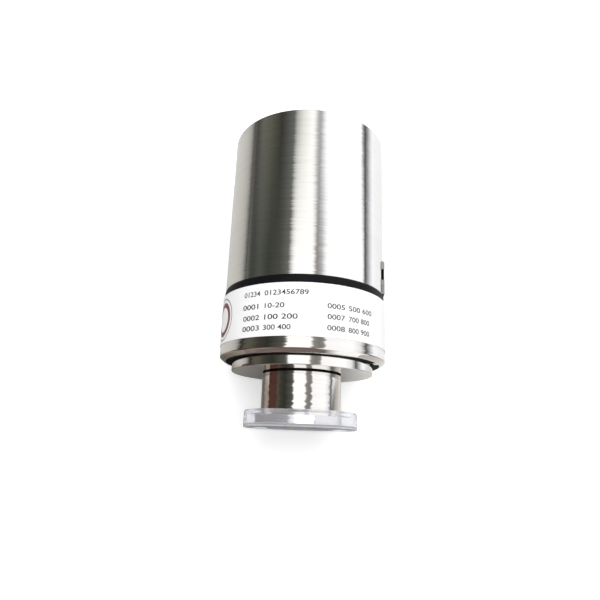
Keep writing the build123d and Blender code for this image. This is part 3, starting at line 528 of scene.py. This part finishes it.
def stretched_noise(tree, coordinates, across, along, detail):
    """Noise drawn out round the axis: coarse across X and Y, fine along Z."""
    apart = tree.nodes.new("ShaderNodeSeparateXYZ")
    tree.links.new(coordinates, apart.inputs[0])
    joined = tree.nodes.new("ShaderNodeCombineXYZ")
    tree.links.new(maths(tree, "MULTIPLY", apart.outputs["X"], across), joined.inputs["X"])
    tree.links.new(maths(tree, "MULTIPLY", apart.outputs["Y"], across), joined.inputs["Y"])
    tree.links.new(maths(tree, "MULTIPLY", apart.outputs["Z"], along), joined.inputs["Z"])
    noise = tree.nodes.new("ShaderNodeTexNoise")
    noise.inputs["Scale"].default_value = 1.0
    noise.inputs["Detail"].default_value = detail
    tree.links.new(joined.outputs[0], noise.inputs["Vector"])
    return noise.outputs["Fac"]


def vector_maths(tree, operation, first, second=None):
    """A vector maths node between two sockets or vectors."""
    node = tree.nodes.new("ShaderNodeVectorMath")
    node.operation = operation
    for socket, value in zip(node.inputs, (first, second)):
        if isinstance(value, bpy.types.NodeSocket):
            tree.links.new(value, socket)
        elif value is not None:
            socket.default_value = value
    return node


turning_marks, ends_in, ends_out = group(
    "turning_marks",
    [("Rings", 1500.0), ("Sway", 0.05), ("Handling", 45.0)],
    ["Height", "Rough", "Tone"],
)
turning_marks.interface.new_socket("Normal", in_out="OUTPUT", socket_type="NodeSocketVector")
object_place = turning_marks.nodes.new("ShaderNodeTexCoord").outputs["Object"]
flat_place = vector_maths(turning_marks, "MULTIPLY", object_place, (1.0, 1.0, 0.0)).outputs[0]
from_axis = vector_maths(turning_marks, "LENGTH", flat_place).outputs["Value"]
outwards = turning_marks.nodes.new("ShaderNodeCombineXYZ")
turning_marks.links.new(from_axis, outwards.inputs["Z"])
along_cut = vector_maths(turning_marks, "ADD", object_place, outwards.outputs[0]).outputs[0]
AROUND = 40.0
BROADER = 0.6
rings, handling = ends_in.outputs["Rings"], ends_in.outputs["Handling"]
broad_rings = maths(turning_marks, "MULTIPLY", rings, BROADER)
fine = stretched_noise(turning_marks, along_cut, AROUND, rings, 2.0)
broad = stretched_noise(turning_marks, along_cut, AROUND / 2, broad_rings, 3.0)
smudge = stretched_noise(turning_marks, object_place, handling, handling, 4.0)
round_axis = vector_maths(turning_marks, "CROSS_PRODUCT", (0.0, 0.0, 1.0), flat_place).outputs[0]
sideways = vector_maths(turning_marks, "NORMALIZE", round_axis).outputs[0]
lean = maths(turning_marks, "MULTIPLY", maths(turning_marks, "SUBTRACT", fine, 0.5), ends_in.outputs["Sway"])
swaying = vector_maths(turning_marks, "SCALE", sideways)
turning_marks.links.new(lean, swaying.inputs["Scale"])
facing_out = turning_marks.nodes.new("ShaderNodeNewGeometry").outputs["Normal"]
swayed = vector_maths(turning_marks, "ADD", facing_out, swaying.outputs[0]).outputs[0]
leaning = vector_maths(turning_marks, "NORMALIZE", swayed).outputs[0]
turning_marks.links.new(leaning, ends_out.inputs["Normal"])
turning_marks.links.new(fine, ends_out.inputs["Height"])
turning_marks.links.new(maths(turning_marks, "ADD", fine, smudge), ends_out.inputs["Rough"])
turning_marks.links.new(broad, ends_out.inputs["Tone"])


def turned_steel(name, colour, roughness, rings, depth, sway=0.0, stretch=0.0):
    """Turned metal, by its least and most roughness, its marks per metre, and their depth in millimetres."""
    material, nodes, links = shader(name)
    out = nodes.new("ShaderNodeOutputMaterial")
    metal = nodes.new("ShaderNodeBsdfPrincipled")
    metal.inputs["Metallic"].default_value = 1.0
    metal.inputs["Anisotropic"].default_value = stretch
    metal.inputs["Anisotropic Rotation"].default_value = 0.25
    marks = nodes.new("ShaderNodeGroup")
    marks.node_tree = turning_marks
    marks.inputs["Rings"].default_value = rings
    marks.inputs["Sway"].default_value = sway
    tint = nodes.new("ShaderNodeMix")
    tint.data_type = "RGBA"
    tint.inputs[6].default_value = [RING_SHADE * part for part in colour[:3]] + [1.0]
    tint.inputs[7].default_value = colour
    weight = nodes.new("ShaderNodeMapRange")
    weight.inputs["From Min"].default_value = 0.30
    weight.inputs["From Max"].default_value = 0.55
    links.new(marks.outputs["Tone"], weight.inputs["Value"])
    links.new(weight.outputs[0], tint.inputs[0])
    links.new(tint.outputs[2], metal.inputs["Base Color"])
    spread = nodes.new("ShaderNodeMapRange")
    spread.inputs["From Min"].default_value = 0.6
    spread.inputs["From Max"].default_value = 1.4
    spread.inputs["To Min"].default_value = roughness[0]
    spread.inputs["To Max"].default_value = roughness[1]
    links.new(marks.outputs["Rough"], spread.inputs["Value"])
    links.new(spread.outputs[0], metal.inputs["Roughness"])
    bump = nodes.new("ShaderNodeBump")
    bump.inputs["Distance"].default_value = depth * MM
    links.new(marks.outputs["Height"], bump.inputs["Height"])
    links.new(marks.outputs["Normal"], bump.inputs["Normal"])
    links.new(bump.outputs[0], metal.inputs["Normal"])
    links.new(metal.outputs[0], out.inputs["Surface"])
    return material


moulded_grain, ends_in, ends_out = group(
    "moulded_grain",
    [("Grain", 4000.0), ("Clouds", 60.0)],
    ["Height", "Tone"],
)
object_place = moulded_grain.nodes.new("ShaderNodeTexCoord").outputs["Object"]
grain_scale, cloud_scale = ends_in.outputs["Grain"], ends_in.outputs["Clouds"]
grain = stretched_noise(moulded_grain, object_place, grain_scale, grain_scale, 2.0)
clouds = stretched_noise(moulded_grain, object_place, cloud_scale, cloud_scale, 3.0)
moulded_grain.links.new(grain, ends_out.inputs["Height"])
moulded_grain.links.new(clouds, ends_out.inputs["Tone"])


def moulded(name, dark, light, roughness, grain_scale, depth, **constants):
    """A moulded or printed surface whose colour drifts between two tones, with a fine grain."""
    material, nodes, links = shader(name)
    out = nodes.new("ShaderNodeOutputMaterial")
    body = nodes.new("ShaderNodeBsdfPrincipled")
    body.inputs["Roughness"].default_value = roughness
    for title, value in constants.items():
        body.inputs[title.replace("_", " ")].default_value = value
    grain_node = nodes.new("ShaderNodeGroup")
    grain_node.node_tree = moulded_grain
    grain_node.inputs["Grain"].default_value = grain_scale
    blend = nodes.new("ShaderNodeMix")
    blend.data_type = "RGBA"
    blend.inputs[6].default_value = dark
    blend.inputs[7].default_value = light
    links.new(grain_node.outputs["Tone"], blend.inputs[0])
    links.new(blend.outputs[2], body.inputs["Base Color"])
    bump = nodes.new("ShaderNodeBump")
    bump.inputs["Distance"].default_value = depth * MM
    links.new(grain_node.outputs["Height"], bump.inputs["Height"])
    links.new(bump.outputs[0], body.inputs["Normal"])
    links.new(body.outputs[0], out.inputs["Surface"])
    return material


flange_neck = turn("flange_and_neck", [
    (RECESS_D / 2, 0.0),
    (FLANGE_OD / 2, 0.0, 0.2),
    (FLANGE_OD / 2, FLANGE_RIM, 0.15),
    (NECK_OD / 2, NECK_STARTS, 0.3),
    (NECK_OD / 2, NECK_ENDS - NECK_GROOVE - PAINTED_SHADE_BELOW),
    (NECK_OD / 2, NECK_ENDS - NECK_GROOVE, 0.08),
    (NECK_OD / 2 - NECK_GROOVE_DEPTH, NECK_ENDS - NECK_GROOVE),
    (NECK_OD / 2 - NECK_GROOVE_DEPTH, NECK_ENDS),
    (SPIGOT_OD / 2, NECK_ENDS),
    (SPIGOT_OD / 2, SPIGOT_TOP),
    (HEADER_SEAT_D / 2, SPIGOT_TOP),
    (HEADER_SEAT_D / 2, HEADER_SEAT_Z),
    (CHAMBER_D / 2, HEADER_SEAT_Z),
    (CHAMBER_D / 2, INLET_STEP_Z),
    (INLET_D / 2, INLET_STEP_Z),
    (INLET_D / 2, SEAT_Z),
    (RING_GROOVE_D / 2, SEAT_Z),
    (RING_GROOVE_D / 2, RING_GROOVE_Z),
    (INLET_D / 2, RING_GROOVE_Z),
    (INLET_D / 2, RECESS_DEPTH, 0.1),
    (RECESS_D / 2, RECESS_DEPTH),
])
smooth(flange_neck)
flange_neck.data.materials.append(
    turned_steel("neck_steel_finish", STEEL, (0.03, 0.09), 1400.0, 0.003, sway=0.12, stretch=0.3)
)
# Painted shade: the groove under the plate, and a hair of the neck below it, get a near-black finish that
# stands in for the shade in the recess.
flange_neck.data.materials.append(
    moulded(
        "groove_painted_shade_finish", (0.006, 0.005, 0.004, 1.0), (0.016, 0.013, 0.011, 1.0), 0.8, 2500.0, 0.01,
        Specular_IOR_Level=0.05,
    )
)
for face in flange_neck.data.polygons:
    height, from_middle = face.center.z / MM, face.center.xy.length / MM
    at_groove = NECK_ENDS - NECK_GROOVE - PAINTED_SHADE_BELOW < height < NECK_ENDS + 0.01
    if at_groove and from_middle > NECK_OD / 2 - NECK_GROOVE_DEPTH - 0.05:
        face.material_index = 1
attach(flange_neck, "gauge")
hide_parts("flange_neck")


# Baffle and its spring ring
# A drilled disc keeps dirt out of the sensor; an open spring ring in a groove holds it up against the step.
# Both are thin stainless steel, pressed flat and left bright.


def dress(node, finish):
    """Give a node whose shape stays a finish of its own."""
    cad[node].data.materials.clear()
    cad[node].data.materials.append(finish)


dress("inlet_baffle", turned_steel("baffle_finish", (0.62, 0.61, 0.60, 1.0), (0.22, 0.36), 500.0, 0.01))
dress(
    "baffle_retaining_ring",
    turned_steel("retaining_ring_finish", (0.50, 0.50, 0.50, 1.0), (0.22, 0.36), 500.0, 0.01),
)


# Plate under the housing
# A polished stainless disc seated on the neck; the screws that hold the shell come into it from above.
# Its edge is turned bright like the shell's, and its underside is faced smooth, so it mirrors the neck.
PLATE_OD = 53.3
PLATE_Z = 18.9
PLATE_TOP_Z = 22.4
PLATE_BORE = 27.7
plate = turn("mounting_plate_disc", [
    (PLATE_BORE / 2, PLATE_Z),
    (PLATE_OD / 2, PLATE_Z, 0.3),
    (PLATE_OD / 2, PLATE_TOP_Z, 0.08),
    (PLATE_BORE / 2, PLATE_TOP_Z),
])
smooth(plate)
plate.data.materials.append(
    turned_steel("plate_steel_finish", STEEL, (0.02, 0.07), 1400.0, 0.002, sway=0.05, stretch=0.2)
)
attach(plate, "gauge")
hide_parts("mounting_plate")


# Insulating ring
# A thin black moulded ring that keeps the shell off the plate, with two notches for the shell's keys.
# Only its lower edge shows, as a dark line in the gap between the plate and the shell's lip.
LIP_BORE = 58.2
FLOOR_Z = 24.2
RING_PLAY = 0.3
RING_OD = LIP_BORE - RING_PLAY
RING_BORE = 28.6
KEY_ANGLES = (-17.0, 163.0)
KEY_WIDTH = 4.0
KEY_REACH = 1.5
KEY_HEIGHT = 1.2
KEY_GAP = 0.3


def box_piece(name, low, high, turned_by=0.0):
    """A block between two corners in millimetres, turned about the axis by some degrees."""
    bpy.ops.object.select_all(action="DESELECT")
    bpy.ops.mesh.primitive_cube_add(size=1.0)
    piece = bpy.context.object
    piece.name = name
    low, high = Vector(low) * MM, Vector(high) * MM
    size = Matrix.Diagonal((*(high - low), 1.0))
    place = Matrix.Rotation(math.radians(turned_by), 4, "Z") @ Matrix.Translation((low + high) / 2) @ size
    piece.data.transform(place)
    return piece


def combine(piece, others, operation):
    """Cut the other pieces out of a piece, or weld them to it, and use them up."""
    for other in others:
        step = piece.modifiers.new("step", "BOOLEAN")
        step.operation = operation
        step.object = other
        bpy.ops.object.select_all(action="DESELECT")
        piece.select_set(True)
        bpy.context.view_layer.objects.active = piece
        bpy.ops.object.modifier_apply(modifier=step.name)
        bpy.data.objects.remove(other)


insulator = turn("insulator_ring_moulding", [
    (RING_BORE / 2, PLATE_TOP_Z),
    (RING_OD / 2, PLATE_TOP_Z, 0.15),
    (RING_OD / 2, FLOOR_Z),
    (RING_BORE / 2, FLOOR_Z),
])
half = KEY_WIDTH / 2 + KEY_GAP
notches = []
for angle in KEY_ANGLES:
    notches.append(box_piece(
        "notch",
        (LIP_BORE / 2 - KEY_REACH - KEY_GAP, -half, PLATE_TOP_Z - 1),
        (LIP_BORE / 2 + 1, half, FLOOR_Z + 1),
        angle,
    ))
combine(insulator, notches, "DIFFERENCE")
smooth(insulator)
insulator.data.materials.append(
    moulded(
        "insulator_finish", (0.004, 0.004, 0.004, 1.0), (0.008, 0.008, 0.008, 1.0), 0.75, 3000.0, 0.01,
        Specular_IOR_Level=0.08,
    )
)
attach(insulator, "gauge")
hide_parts("insulator_ring")


# Base shell
# A stainless shell turned from thick tube: an angled lower edge, a floor, and a thin spigot for the cover.
# Two keys inside its lower lip sit in the insulating ring, and its spigot is cut away for the socket.
SHELL_OD = 62.6
SHELL_EDGE_RADIAL = 1.8
SHELL_EDGE_HEIGHT = 1.25
SHOULDER_Z = 46.0
SHELL_SPIGOT_OD = 58.9
SHELL_SPIGOT_TOP = 53.0
SHELL_BORE = 56.0
FLOOR_TOP_Z = 26.2
WINDOW_WIDTH = 17.8
BOARD_TOP_Z = 49.2
WINDOW_GAP = 0.4

shell = turn("base_shell_turning", [
    (LIP_BORE / 2, PLATE_TOP_Z, 0.06),
    (SHELL_OD / 2 - SHELL_EDGE_RADIAL, PLATE_TOP_Z, 0.3),
    (SHELL_OD / 2, PLATE_TOP_Z + SHELL_EDGE_HEIGHT, 0.3),
    (SHELL_OD / 2, SHOULDER_Z, 0.1),
    (SHELL_SPIGOT_OD / 2, SHOULDER_Z),
    (SHELL_SPIGOT_OD / 2, SHELL_SPIGOT_TOP),
    (SHELL_BORE / 2, SHELL_SPIGOT_TOP),
    (SHELL_BORE / 2, FLOOR_TOP_Z),
    (RING_BORE / 2, FLOOR_TOP_Z),
    (RING_BORE / 2, FLOOR_Z),
    (LIP_BORE / 2, FLOOR_Z),
])
keys = []
for angle in KEY_ANGLES:
    keys.append(box_piece(
        "key",
        (LIP_BORE / 2 - KEY_REACH, -KEY_WIDTH / 2, PLATE_TOP_Z),
        (LIP_BORE / 2 + 0.2, KEY_WIDTH / 2, PLATE_TOP_Z + KEY_HEIGHT),
        angle,
    ))
combine(shell, keys, "UNION")
window = box_piece(
    "window",
    (0.0, -WINDOW_WIDTH / 2, BOARD_TOP_Z - WINDOW_GAP),
    (SHELL_OD, WINDOW_WIDTH / 2, SHELL_SPIGOT_TOP + 1),
)
combine(shell, [window], "DIFFERENCE")
smooth(shell)
shell.data.materials.append(
    turned_steel("shell_steel_finish", STEEL, (0.02, 0.07), 1400.0, 0.003, sway=0.14, stretch=0.3)
)
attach(shell, "gauge")
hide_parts("base_shell")


# Rating label
# White printed film stuck round the shell, open at the back, with rows of plain numbers on its front.
# The ink lies a hair proud of the film, and the round mark at the left is an empty ring.
LABEL_LOW = 27.55
LABEL_HIGH = 45.95
LABEL_R = 31.33
LABEL_T = 0.18
LABEL_GAP = 60.0
INK = (0.028, 0.028, 0.030, 1.0)
RING_RED = (0.16, 0.030, 0.035, 1.0)

label = turn("label_film", [
    (LABEL_R, LABEL_LOW, 0.04),
    (LABEL_R + LABEL_T, LABEL_LOW, 0.04),
    (LABEL_R + LABEL_T, LABEL_HIGH, 0.04),
    (LABEL_R, LABEL_HIGH, 0.04),
])
half_gap = math.radians(LABEL_GAP / 2)
bpy.ops.object.select_all(action="DESELECT")
bpy.ops.mesh.primitive_cylinder_add(vertices=3, radius=0.001)
wedge = bpy.context.object
wedge.name = "gap"
reach = 2.0 * LABEL_R * MM
corners = [(0.0, 0.0), (reach * math.sin(half_gap), reach * math.cos(half_gap))]
corners.append((-corners[1][0], corners[1][1]))
for vertex in wedge.data.vertices:
    corner = corners[vertex.index // 2]
    height = LABEL_HIGH + 1.0 if vertex.index % 2 else LABEL_LOW - 1.0
    vertex.co = (corner[0], corner[1], height * MM)
combine(label, [wedge], "DIFFERENCE")
smooth(label)
label.data.materials.append(
    moulded(
        "label_finish", (0.80, 0.80, 0.80, 1.0), (0.84, 0.84, 0.84, 1.0), 0.42, 1500.0, 0.004,
        Specular_IOR_Level=0.35,
    )
)
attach(label, "gauge")
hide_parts("rating_label")

# The print: each run of digits lies between two bearings in degrees, at a height in millimetres.
INK_T = 0.03
DIGIT_SIZE = 2.5
DIGIT_WEIGHT = 0.035
RUNS = [
    ("01234", -41.3, -28.6, 42.4),
    ("0123456789", -25.5, 2.6, 42.4),
    ("0001", -41.3, -28.9, 37.9),
    ("0002", -41.3, -28.4, 34.0),
    ("0003", -41.3, -28.0, 30.4),
    ("10-20", -25.5, -12.6, 37.9),
    ("100 200", -25.5, -4.2, 34.0),
    ("300 400", -25.5, -7.8, 30.4),
    ("0005", 14.4, 26.1, 38.2),
    ("0007", 14.4, 26.1, 34.5),
    ("0008", 14.4, 26.1, 30.7),
    ("500 600", 28.7, 48.6, 38.2),
    ("700 800", 28.7, 46.2, 34.5),
    ("800 900", 28.7, 46.2, 30.7),
]
MARK_TURN = -68.4
MARK_Z = 36.4
MARK_R = 5.5
MARK_WIDTH = 1.8
OUTLINE_R = 7.7
OUTLINE_WIDTH = 0.36


def wrapped(piece, turned_by, height):
    """Lay a flat mesh, drawn in X and Y with its thickness in Z, on the label at a bearing and a height."""
    face = (LABEL_R + LABEL_T) * MM
    for vertex in piece.data.vertices:
        bearing = math.radians(turned_by) + CAMERA_AZIMUTH + vertex.co.x / face
        out_by = face + vertex.co.z
        up = height * MM + vertex.co.y
        vertex.co = (out_by * math.sin(bearing), -out_by * math.cos(bearing), up)


def digits(characters, left, right, height):
    """A run of digits, fitted between two bearings on the label."""
    bpy.ops.object.select_all(action="DESELECT")
    bpy.ops.object.text_add()
    drawn = bpy.context.object
    drawn.data.body = characters
    drawn.data.size = DIGIT_SIZE * MM
    drawn.data.align_x = "CENTER"
    drawn.data.align_y = "CENTER"
    drawn.data.extrude = INK_T / 2 * MM
    drawn.data.offset = DIGIT_WEIGHT * MM
    bpy.ops.object.convert(target="MESH")
    piece = bpy.context.object
    across = [vertex.co.x for vertex in piece.data.vertices]
    fit = math.radians(right - left) * (LABEL_R + LABEL_T) * MM / (max(across) - min(across))
    piece.data.transform(Matrix.Diagonal((fit, 1.0, 1.0, 1.0)))
    wrapped(piece, (left + right) / 2, height)
    bpy.ops.object.mode_set(mode="EDIT")
    bpy.ops.mesh.select_all(action="SELECT")
    bpy.ops.mesh.remove_doubles(threshold=0.001 * MM)
    bpy.ops.mesh.normals_make_consistent(inside=False)
    bpy.ops.object.mode_set(mode="OBJECT")
    return piece


def ring(radius, width):
    """A flat ring of ink, as the round mark and its outline are drawn."""
    bpy.ops.object.select_all(action="DESELECT")
    bpy.ops.mesh.primitive_torus_add(
        major_segments=96, minor_segments=8, major_radius=radius * MM, minor_radius=width / 2 * MM,
    )
    piece = bpy.context.object
    piece.data.transform(Matrix.Diagonal((1.0, 1.0, INK_T / width, 1.0)))
    wrapped(piece, MARK_TURN, MARK_Z)
    return piece


def joined(name, made):
    """Several meshes made one piece."""
    bpy.ops.object.select_all(action="DESELECT")
    for piece in made:
        piece.select_set(True)
    bpy.context.view_layer.objects.active = made[0]
    bpy.ops.object.join()
    made[0].name = made[0].data.name = name
    return made[0]


marks = [ring(OUTLINE_R, OUTLINE_WIDTH)]
for characters, left, right, height in RUNS:
    marks.append(digits(characters, left, right, height))
label_print = joined("label_print", marks)
label_print.data.materials.append(
    moulded("ink_finish", INK, (0.040, 0.040, 0.043, 1.0), 0.5, 2500.0, 0.002)
)
red_ring = joined("label_round_mark", [ring(MARK_R, MARK_WIDTH)])
red_ring.data.materials.append(
    moulded("red_ink_finish", RING_RED, (0.19, 0.035, 0.040, 1.0), 0.5, 2500.0, 0.002)
)
for piece in (label_print, red_ring):
    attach(piece, "gauge")


# Gasket band
# A black rubber band squeezed between the shell's shoulder and the cover, bulging a hair past both.
# It is moulded, dull, and a little shiny along the middle of its round.
BAND_OD = 62.0
BAND_BORE = 59.0
BAND_TOP_Z = 49.05

band = turn("gasket_band_rubber", [
    (BAND_BORE / 2, SHOULDER_Z),
    (BAND_OD / 2, SHOULDER_Z, 0.6),
    (BAND_OD / 2, BAND_TOP_Z, 0.6),
    (BAND_BORE / 2, BAND_TOP_Z),
])
smooth(band, 50.0)
band.data.materials.append(
    moulded(
        "band_finish", (0.003, 0.003, 0.004, 1.0), (0.007, 0.007, 0.009, 1.0), 0.5, 3500.0, 0.008,
        Specular_IOR_Level=0.12,
    )
)
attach(band, "gauge")
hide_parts("gasket_band")


# Cover
# A cup of stainless tube and end plate, turned and polished as one, pushed over the spigot.
# A window with round upper corners is milled in its side for the socket, and two screws hold it at the back.
COVER_OD = 61.6
COVER_BORE = 59.2
COVER_TOP_Z = 113.7
COVER_CEILING_Z = 112.1
COVER_EDGE = 0.45
WINDOW_TOP_Z = 62.6
WINDOW_CORNER = 1.2
SCREW_ANGLES = (45.0, 135.0)
SCREW_Z = 51.03
SINK_RADIUS = 1.75

cover = turn("cover_cup", [
    (0.0, COVER_TOP_Z),
    (COVER_OD / 2, COVER_TOP_Z, COVER_EDGE),
    (COVER_OD / 2, BAND_TOP_Z, 0.1),
    (COVER_BORE / 2, BAND_TOP_Z),
    (COVER_BORE / 2, COVER_CEILING_Z),
    (0.0, COVER_CEILING_Z),
])
window = box_piece(
    "window",
    (0.0, -WINDOW_WIDTH / 2, BAND_TOP_Z - 2),
    (COVER_OD, WINDOW_WIDTH / 2, WINDOW_TOP_Z),
)
bpy.context.view_layer.objects.active = window
bpy.ops.object.mode_set(mode="EDIT")
bpy.ops.mesh.select_mode(type="EDGE")
mesh = bmesh.from_edit_mesh(window.data)
for edge in mesh.edges:
    edge.select = all(vertex.co.z > (WINDOW_TOP_Z - 0.1) * MM for vertex in edge.verts) and (
        abs(edge.verts[0].co.y - edge.verts[1].co.y) < 0.1 * MM
    )
bmesh.update_edit_mesh(window.data)
bpy.ops.mesh.bevel(offset=WINDOW_CORNER * MM, segments=8, affect="EDGES")
bpy.ops.object.mode_set(mode="OBJECT")
sinks = []
for angle in SCREW_ANGLES:
    bpy.ops.object.select_all(action="DESELECT")
    bpy.ops.mesh.primitive_cone_add(
        vertices=48, radius1=0.0, radius2=(SINK_RADIUS + 1.0) * MM, depth=(SINK_RADIUS + 1.0) * MM,
        location=(0.0, 0.0, 0.5 * (1.0 - SINK_RADIUS) * MM),
    )
    sink = bpy.context.object
    bpy.ops.object.transform_apply(location=True)
    place = Matrix.Rotation(math.radians(angle), 4, "Z")
    place = place @ Matrix.Translation((COVER_OD / 2 * MM, 0.0, SCREW_Z * MM))
    sink.data.transform(place @ Matrix.Rotation(math.radians(90.0), 4, "Y"))
    sinks.append(sink)
combine(cover, [window] + sinks, "DIFFERENCE")
smooth(cover)
cover.data.materials.append(
    turned_steel("cover_steel_finish", STEEL, (0.04, 0.11), 1800.0, 0.003, sway=0.06, stretch=0.4)
)
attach(cover, "gauge")
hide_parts("cover_shell")


# Cover screws
# Two small stainless flat-head screws with six-sided drives, sunk flush in the cover's wall at the back.
# They pass into the spigot and hold the cover down on the rubber band.
dress("cover_screws", turned_steel("screw_steel_finish", (0.55, 0.54, 0.53, 1.0), (0.25, 0.40), 900.0, 0.01))


# Socket in the window
# A black moulded socket for an eight-way plug, inside a folded can of thin tinned sheet that shields it.
# Eight gold-plated spring wires slope down inside, and two round posts fix the can to the board.
dress("jack_shield", turned_steel("shield_finish", (0.36, 0.375, 0.36, 1.0), (0.34, 0.48), 700.0, 0.006))
dress("shield_posts", turned_steel("post_finish", (0.60, 0.60, 0.60, 1.0), (0.25, 0.40), 700.0, 0.006))
dress("jack_contacts", turned_steel("contact_finish", (0.83, 0.60, 0.25, 1.0), (0.15, 0.28), 900.0, 0.003))
dress(
    "jack_housing",
    moulded(
        "socket_finish", (0.002, 0.002, 0.002, 1.0), (0.004, 0.004, 0.004, 1.0), 0.6, 3000.0, 0.006,
        Specular_IOR_Level=0.05,
    ),
)


# Sensor
# A metal header with glass beads round four pins closes the chamber; two hot wires run between the pins.
# A thin slotted sleeve keeps them from knocks, and a small board on top reads them.
dress("sensor_header", turned_steel("header_finish", (0.66, 0.63, 0.58, 1.0), (0.25, 0.40), 900.0, 0.006))
dress("sensor_shroud", turned_steel("shroud_finish", (0.60, 0.60, 0.59, 1.0), (0.22, 0.36), 900.0, 0.006))
dress("feedthrough_pins", turned_steel("pin_finish", (0.70, 0.64, 0.52, 1.0), (0.22, 0.36), 900.0, 0.004))
dress("sensor_wires", turned_steel("wire_finish", (0.45, 0.45, 0.44, 1.0), (0.25, 0.40), 900.0, 0.002))
dress(
    "glass_seals",
    moulded(
        "seal_finish", (0.20, 0.42, 0.36, 1.0), (0.30, 0.52, 0.45, 1.0), 0.10, 900.0, 0.004,
        Transmission_Weight=0.6,
    ),
)


# Boards and what stands on them
# Round green laminate boards on brass pillars, with black moulded parts and metal cans soldered to them.
# They are closed in by the cover and the shell and only show where the socket's window leaves a gap.
BOARD_GREENS = ((0.012, 0.085, 0.035, 1.0), (0.020, 0.120, 0.050, 1.0))
CHIP_BLACKS = ((0.012, 0.012, 0.012, 1.0), (0.022, 0.022, 0.022, 1.0))

laminate = moulded("laminate_finish", *BOARD_GREENS, 0.38, 900.0, 0.01)
black_mould = moulded("chip_finish", *CHIP_BLACKS, 0.55, 2500.0, 0.01)
brass = turned_steel("brass_finish", (0.72, 0.55, 0.28, 1.0), (0.22, 0.36), 1200.0, 0.008)
can_metal = turned_steel("can_finish", (0.72, 0.72, 0.73, 1.0), (0.28, 0.42), 900.0, 0.006)
inner_screw = turned_steel("inner_screw_finish", (0.50, 0.50, 0.50, 1.0), (0.28, 0.42), 900.0, 0.008)
pin_gold = turned_steel("pin_gold_finish", (0.80, 0.60, 0.28, 1.0), (0.18, 0.30), 900.0, 0.004)
for finish, names in (
    (laminate, ("sensor_board", "main_board", "power_board", "control_board")),
    (black_mould, (
        "link_socket", "stack_sockets", "power_inductor", "converter_module", "processor_chip", "small_chips",
    )),
    (brass, ("lower_standoffs", "middle_standoffs", "upper_standoffs")),
    (can_metal, ("supply_capacitors", "crystal_can")),
    (inner_screw, ("plate_screws", "board_screws")),
    (pin_gold, ("link_pins", "stack_pins")),
):
    for name in names:
        dress(name, finish)


# Dust cap
# A soft translucent cap of frosted plastic, pushed over the flange until its floor meets the face.
# The metal rim shows through its skirt, and the skirt's open edge is thinned on the outside.
CAP_OD = 42.0
CAP_BORE = 40.3
CAP_LOW = -1.3
CAP_LIP_Z = 4.9
CAP_LIP_TAPER = 0.8
CAP_LIP_THINNED = 0.3
CAP_GROOVE = 0.5
CAP_GROOVE_OUTER = 35.0
CAP_GROOVE_INNER = 25.0
CAP_DISC = 20.0

cap = turn("dust_cap_moulding", [
    (0.0, CAP_LOW + CAP_GROOVE),
    (CAP_DISC / 2, CAP_LOW + CAP_GROOVE),
    (CAP_DISC / 2, CAP_LOW, 0.15),
    (CAP_GROOVE_INNER / 2, CAP_LOW, 0.15),
    (CAP_GROOVE_INNER / 2, CAP_LOW + CAP_GROOVE),
    (CAP_GROOVE_OUTER / 2, CAP_LOW + CAP_GROOVE),
    (CAP_GROOVE_OUTER / 2, CAP_LOW, 0.15),
    (CAP_OD / 2, CAP_LOW, 0.45),
    (CAP_OD / 2, CAP_LIP_Z - CAP_LIP_TAPER, 0.2),
    (CAP_OD / 2 - CAP_LIP_THINNED, CAP_LIP_Z, 0.12),
    (CAP_BORE / 2, CAP_LIP_Z, 0.12),
    (CAP_BORE / 2, 0.0, 0.1),
    (0.0, 0.0),
])
smooth(cap)
cap.data.materials.append(
    moulded(
        "cap_finish", (0.88, 0.89, 0.94, 1.0), (0.97, 0.975, 0.99, 1.0), 0.16, 700.0, 0.015,
        Transmission_Weight=0.88, IOR=1.18,
    )
)
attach(cap, "cap")
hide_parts("dust_cap")
